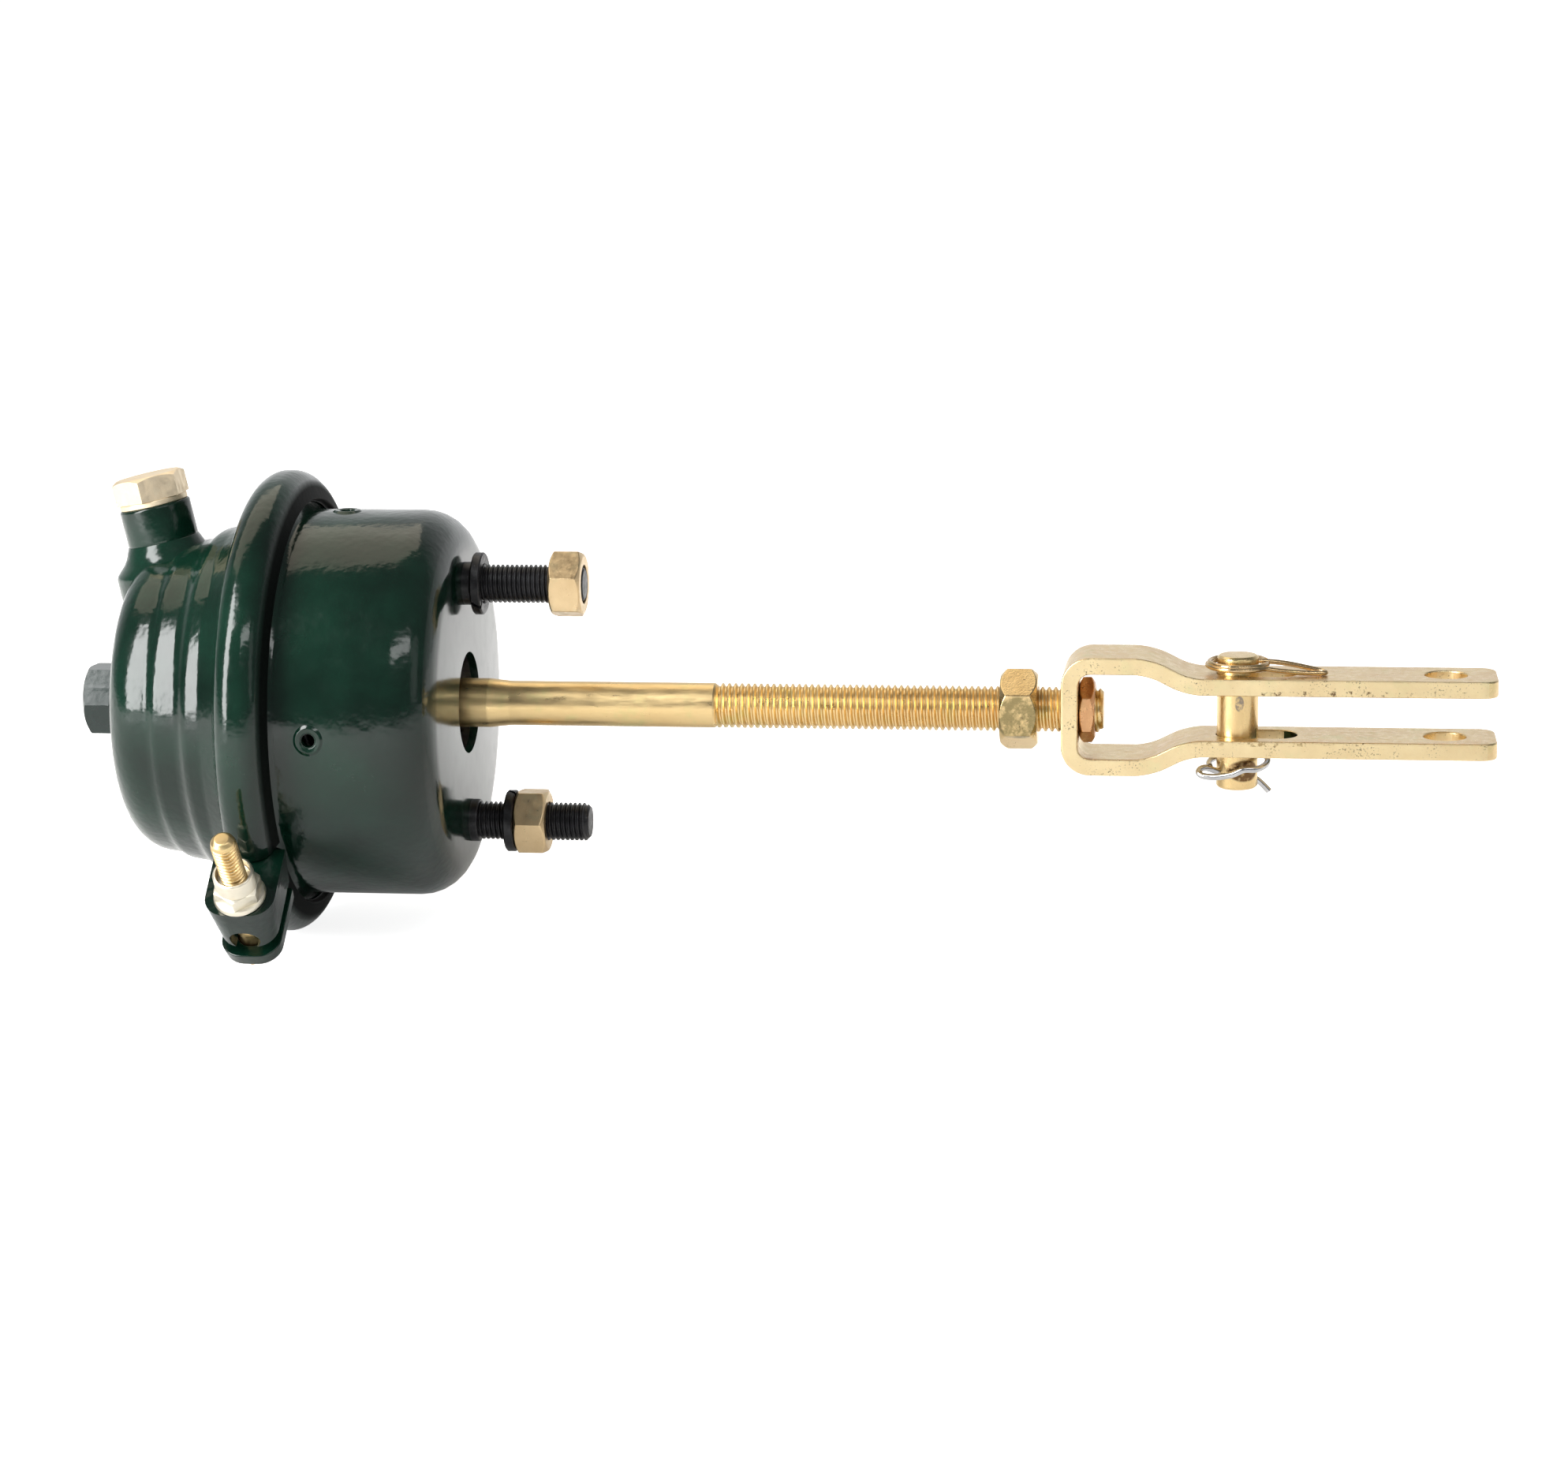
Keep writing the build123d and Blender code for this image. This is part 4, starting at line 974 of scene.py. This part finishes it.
def makeBand():
    side = clamp["x"]
    flank = (clamp["crest"] - clamp["lip"]) * clamp["slope"]
    # the band's flank facing the housing is painted near black: painted shade in the gap between the band and
    # the housing
    shadedFlankPaint = paintMaterial("shadedFlankPaint", paint, paint["bandDents"],
                               paintedShadeFrom=side + clamp["half"] - flank + clamp["paintedShade"])
    bm = bmesh.new()
    bentWire(bm, [(side + clamp["half"], clamp["lip"], 0),
                  (side + clamp["half"] - flank, clamp["crest"], clamp["bend"]),
                  (side - clamp["half"] + flank, clamp["crest"], clamp["bend"]),
                  (side - clamp["half"], clamp["lip"], 0)], 9)
    gap = 2 * math.asin(lug["split"] / 2 / clamp["crest"])
    offset = math.degrees(math.asin(lug["splitAt"] / clamp["crest"]))
    moved(bm, turn(180 + math.degrees(gap / 2) + offset, "X"))
    spinX(bm, 176, 2 * math.pi - gap, merge=False)
    moved(bm, turn(-lug["angle"], "X"))
    band = finishPiece("clampBand", bm, shadedFlankPaint, "clamp_band", sharp=40,
                       middle=(side, 0, 0))
    addSheet(band, clamp["sheet"])
    applyModifiers(band)
    addRidge(band, 0.5, 40)


def makeEars():
    half = lug["split"] / 2
    nutEar = earShape("nutEar", lug["splitAt"] + half, lug["neck"], lug["seat"], lug["end"], lug["seat"],
                      lug["sheet"])
    headEar = earShape("headEar", lug["splitAt"] - half, lug["head"], lug["hoodEnd"], lug["hood"],
                       lug["headSeat"], lug["hoodSheet"])
    window = slotCutter(-lug["window"] / 2, lug["window"] / 2, lug["windowR"])
    window.data.transform(shift(0, lug["seat"] - lug["windowDrop"], -lug["axis"] - lug["end"][1])
                          @ Matrix.Diagonal((1, 1, lug["windowDeep"], 1)))
    carve(nutEar, [window])
    for ear in (nutEar, headEar):
        ear.data.transform(atLug())
        ear.data.materials.clear()
        ear.data.materials.append(bandPaint)
        ear.data.shade_smooth()
        ear.data.set_sharp_from_angle(angle=math.radians(35))
        addRidge(ear, 0.7)
        assign(ear, "chamber", None)


bolt = {"head": 5.0, "flats": 13.0, "pitch": 1.5, "shank": 3.95, "core": 3.2, "gap": 0.1, "flangeR": 8.2,
        "flange": 1.6, "hex": 4.6, "collarR": 6.4, "collar": 5.4, "counterbore": 2.5, "boreR": 4.05,
        "shoulder": 6.0,
        "point": ((-4, 3.3, 0), (-2.4, 3.75, 0.4), (-1.2, 3.6, 0.8), (0, 2.3, 1.0), (0, 0, 0))}


def makeClampBolt():
    head = lug["headSeat"] - bolt["gap"] - bolt["head"]
    bm = hexShape(bolt["flats"], head, head + bolt["head"], crownEnd=False)
    joinInto(bm, threadShape(-6, lug["tip"] - 2.2, lug["bolt"], bolt["pitch"], tip=0.4))
    joinInto(bm, turnedShape([(head + 1, bolt["shank"], 0), (-5, bolt["shank"], 0),
                              (-4, bolt["core"], 0)], 48))
    joinInto(bm, turnedShape([(lug["tip"] + x, r, bend) for x, r, bend in bolt["point"]], 48))
    moved(bm, onBolt())
    finishPiece("clampBolt", bm, turnedZinc, "clamp_bolt", sharp=28)


def makeClampNut():
    seat = lug["seat"] + bolt["gap"]
    hexStart = seat + bolt["flange"]
    hexEnd = hexStart + bolt["hex"]
    end = hexEnd + bolt["collar"]
    bm = hexShape(bolt["flats"], hexStart, hexEnd, crownStart=False)
    floor = end - bolt["counterbore"]
    joinInto(bm, turnedShape([(seat, bolt["boreR"], 0), (seat, bolt["flangeR"], 0.3),
                              (hexStart, bolt["flangeR"] - 0.5, 0.6),
                              (hexStart + 0.3, bolt["shoulder"], 0)], 64))
    joinInto(bm, turnedShape([(hexEnd - 0.6, bolt["collarR"] - 0.3, 0), (hexEnd, bolt["collarR"], 0.2),
                              (end, bolt["collarR"] - 0.2, 0.8), (end, lug["bolt"] + 1.2, 0.3),
                              (floor, lug["bolt"] + 1.1, 0.2), (floor, bolt["boreR"], 0)], 64))
    moved(bm, onBolt())
    finishPiece("clampNut", bm, creamZinc, "clamp_nut", sharp=28)


makeBand()
makeEars()
makeClampBolt()
makeClampNut()
print("clamp band and lug made")

for node, finish in (("diaphragm", rubber), ("push_plate", plainSteel), ("return_spring", springSteel),
                     ("stud_plate", plainSteel)):
    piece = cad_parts[node]
    piece.data.materials.clear()
    piece.data.materials.append(finish)

stage = {"floorDrop": 0.4 * mm, "size": 40.0, "white": 0.86, "glow": 0.85, "near": 0.30, "far": 0.80,
         "nearY": -0.1, "farY": 0.45, "underR": 0.05, "clearR": 0.30, "under": 0.25, "underX": 0.12,
         "squeeze": 0.6}


def floorMaterial():
    # white to the camera; in reflections it glows as a painted reflection of the lit floor, dimmer near the
    # camera and with a painted shadow under the chamber
    material = bpy.data.materials.new("floorWhite")
    material.use_nodes = True
    tree = material.node_tree
    tree.nodes.clear()
    out = tree.nodes.new("ShaderNodeOutputMaterial")
    diffuse = addNode(tree, "ShaderNodeBsdfDiffuse", Color=(stage["white"],) * 3 + (1,))
    glow = addNode(tree, "ShaderNodeEmission", Color=(1, 1, 1, 1))
    total = tree.nodes.new("ShaderNodeAddShader")
    rays = tree.nodes.new("ShaderNodeLightPath").outputs
    place = tree.nodes.new("ShaderNodeTexCoord").outputs["Object"]
    lit = fade(tree, axisOf(tree, place, "Y"), stage["nearY"], stage["farY"], stage["near"], stage["far"])
    squeezed = vectorStep(tree, "MULTIPLY_ADD", place, (stage["squeeze"], 1, 0),
                          (-stage["squeeze"] * stage["underX"], 0, 0))
    reach = vectorStep(tree, "LENGTH", squeezed)
    clear = fade(tree, reach, stage["underR"], stage["clearR"], stage["under"])
    mirrored = calculate(tree, "MULTIPLY", rays["Is Glossy Ray"], calculate(tree, "MULTIPLY", lit, clear))
    seen = calculate(tree, "MULTIPLY", rays["Is Camera Ray"], stage["glow"])
    tree.links.new(calculate(tree, "ADD", seen, mirrored), glow.inputs["Strength"])
    tree.links.new(diffuse.outputs[0], total.inputs[0])
    tree.links.new(glow.outputs[0], total.inputs[1])
    tree.links.new(total.outputs[0], out.inputs["Surface"])
    return material


def makeFloor():
    bm = bmesh.new()
    bmesh.ops.create_grid(bm, x_segments=1, y_segments=1, size=stage["size"])
    low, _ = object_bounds()
    moved(bm, Matrix.Translation((0, 0, low.z - stage["floorDrop"])))
    floor = addObject("floor", meshFrom("floor", bm))
    floor.data.materials.append(floorMaterial())


room = {"behind": (0.95, 0.96, 0.97), "front": (0.17, 0.175, 0.185), "low": 0.0, "high": 0.9, "fall": 0.55}


def makeWorld():
    # white to the camera; the pieces see a studio that is dim on the camera's side
    world = bpy.data.worlds.new("studio")
    world.use_nodes = True
    tree = world.node_tree
    tree.nodes.clear()
    out = tree.nodes.new("ShaderNodeOutputWorld")
    white = addNode(tree, "ShaderNodeBackground", Color=(1, 1, 1, 1), Strength=1.0)
    studio = addNode(tree, "ShaderNodeBackground", Strength=1.0)
    view = tree.nodes.new("ShaderNodeTexCoord").outputs["Generated"]
    depth = vectorStep(tree, "DOT_PRODUCT", view, (0, 1, -room["fall"]))
    away = fade(tree, depth, room["low"], room["high"])
    tree.links.new(ramp(tree, away, 0.0, 1.0, room["front"], room["behind"]), studio.inputs["Color"])
    choose = tree.nodes.new("ShaderNodeMixShader")
    rays = tree.nodes.new("ShaderNodeLightPath")
    tree.links.new(rays.outputs["Is Camera Ray"], choose.inputs[0])
    tree.links.new(studio.outputs[0], choose.inputs[1])
    tree.links.new(white.outputs[0], choose.inputs[2])
    tree.links.new(choose.outputs[0], out.inputs["Surface"])
    bpy.context.scene.world = world


softboxes = {
    "topBox": {"place": (-0.4, 0.45, 1.15), "aim": (-0.05, 0, 0), "width": 1.5, "height": 0.8,
               "radiance": 1.3, "tint": (1.0, 0.88, 0.70)},
    "leftBox": {"place": (-0.95, -0.9, 0.68), "aim": (-0.05, 0, 0), "width": 0.6, "height": 1.5,
                "radiance": 13.0},
    "frontBox": {"place": (0.65, -0.95, 0.95), "aim": (0.2, 0, 0), "width": 1.1, "height": 0.26,
                 "radiance": 4.3},
    "rightBox": {"place": (1.25, -0.5, 0.45), "aim": (0.1, 0, 0), "width": 0.4, "height": 0.7,
                 "radiance": 0.5}}


def addSoftbox(name, place, aim, width, height, radiance, tint=(1, 1, 1)):
    light = bpy.data.lights.new(name, "AREA")
    light.shape = "RECTANGLE"
    light.size = width
    light.size_y = height
    light.energy = radiance * math.pi * width * height
    light.color = tint
    lamp = addObject(name, light)
    lamp.location = place
    lamp.rotation_euler = (Vector(aim) - Vector(place)).to_track_quat("-Z", "Y").to_euler()


camera = {"azimuth": 7.35, "elevation": 12.0, "distance": 1.2, "aim": (0.100, 0.0, -0.0107), "focal": 4860.0,
          "roll": -0.8, "frameWidth": 1988.0, "sensor": 36.0}


def makeCamera():
    data = bpy.data.cameras.new("camera")
    data.sensor_width = camera["sensor"]
    data.lens = camera["sensor"] * camera["focal"] / camera["frameWidth"]
    eye = addObject("camera", data)
    a, e = math.radians(camera["azimuth"]), math.radians(camera["elevation"])
    back = Vector((math.sin(a) * math.cos(e), -math.cos(a) * math.cos(e), math.sin(e)))
    eye.location = Vector(camera["aim"]) + back * camera["distance"]
    roll = Matrix.Rotation(math.radians(camera["roll"]), 3, "Z")
    eye.rotation_euler = ((-back).to_track_quat("-Z", "Y").to_matrix() @ roll).to_euler()
    bpy.context.scene.camera = eye


makeFloor()
makeWorld()
for name, values in softboxes.items():
    addSoftbox(name, **values)
makeCamera()
bpy.context.scene.view_settings.view_transform = "Standard"
print("stage made")
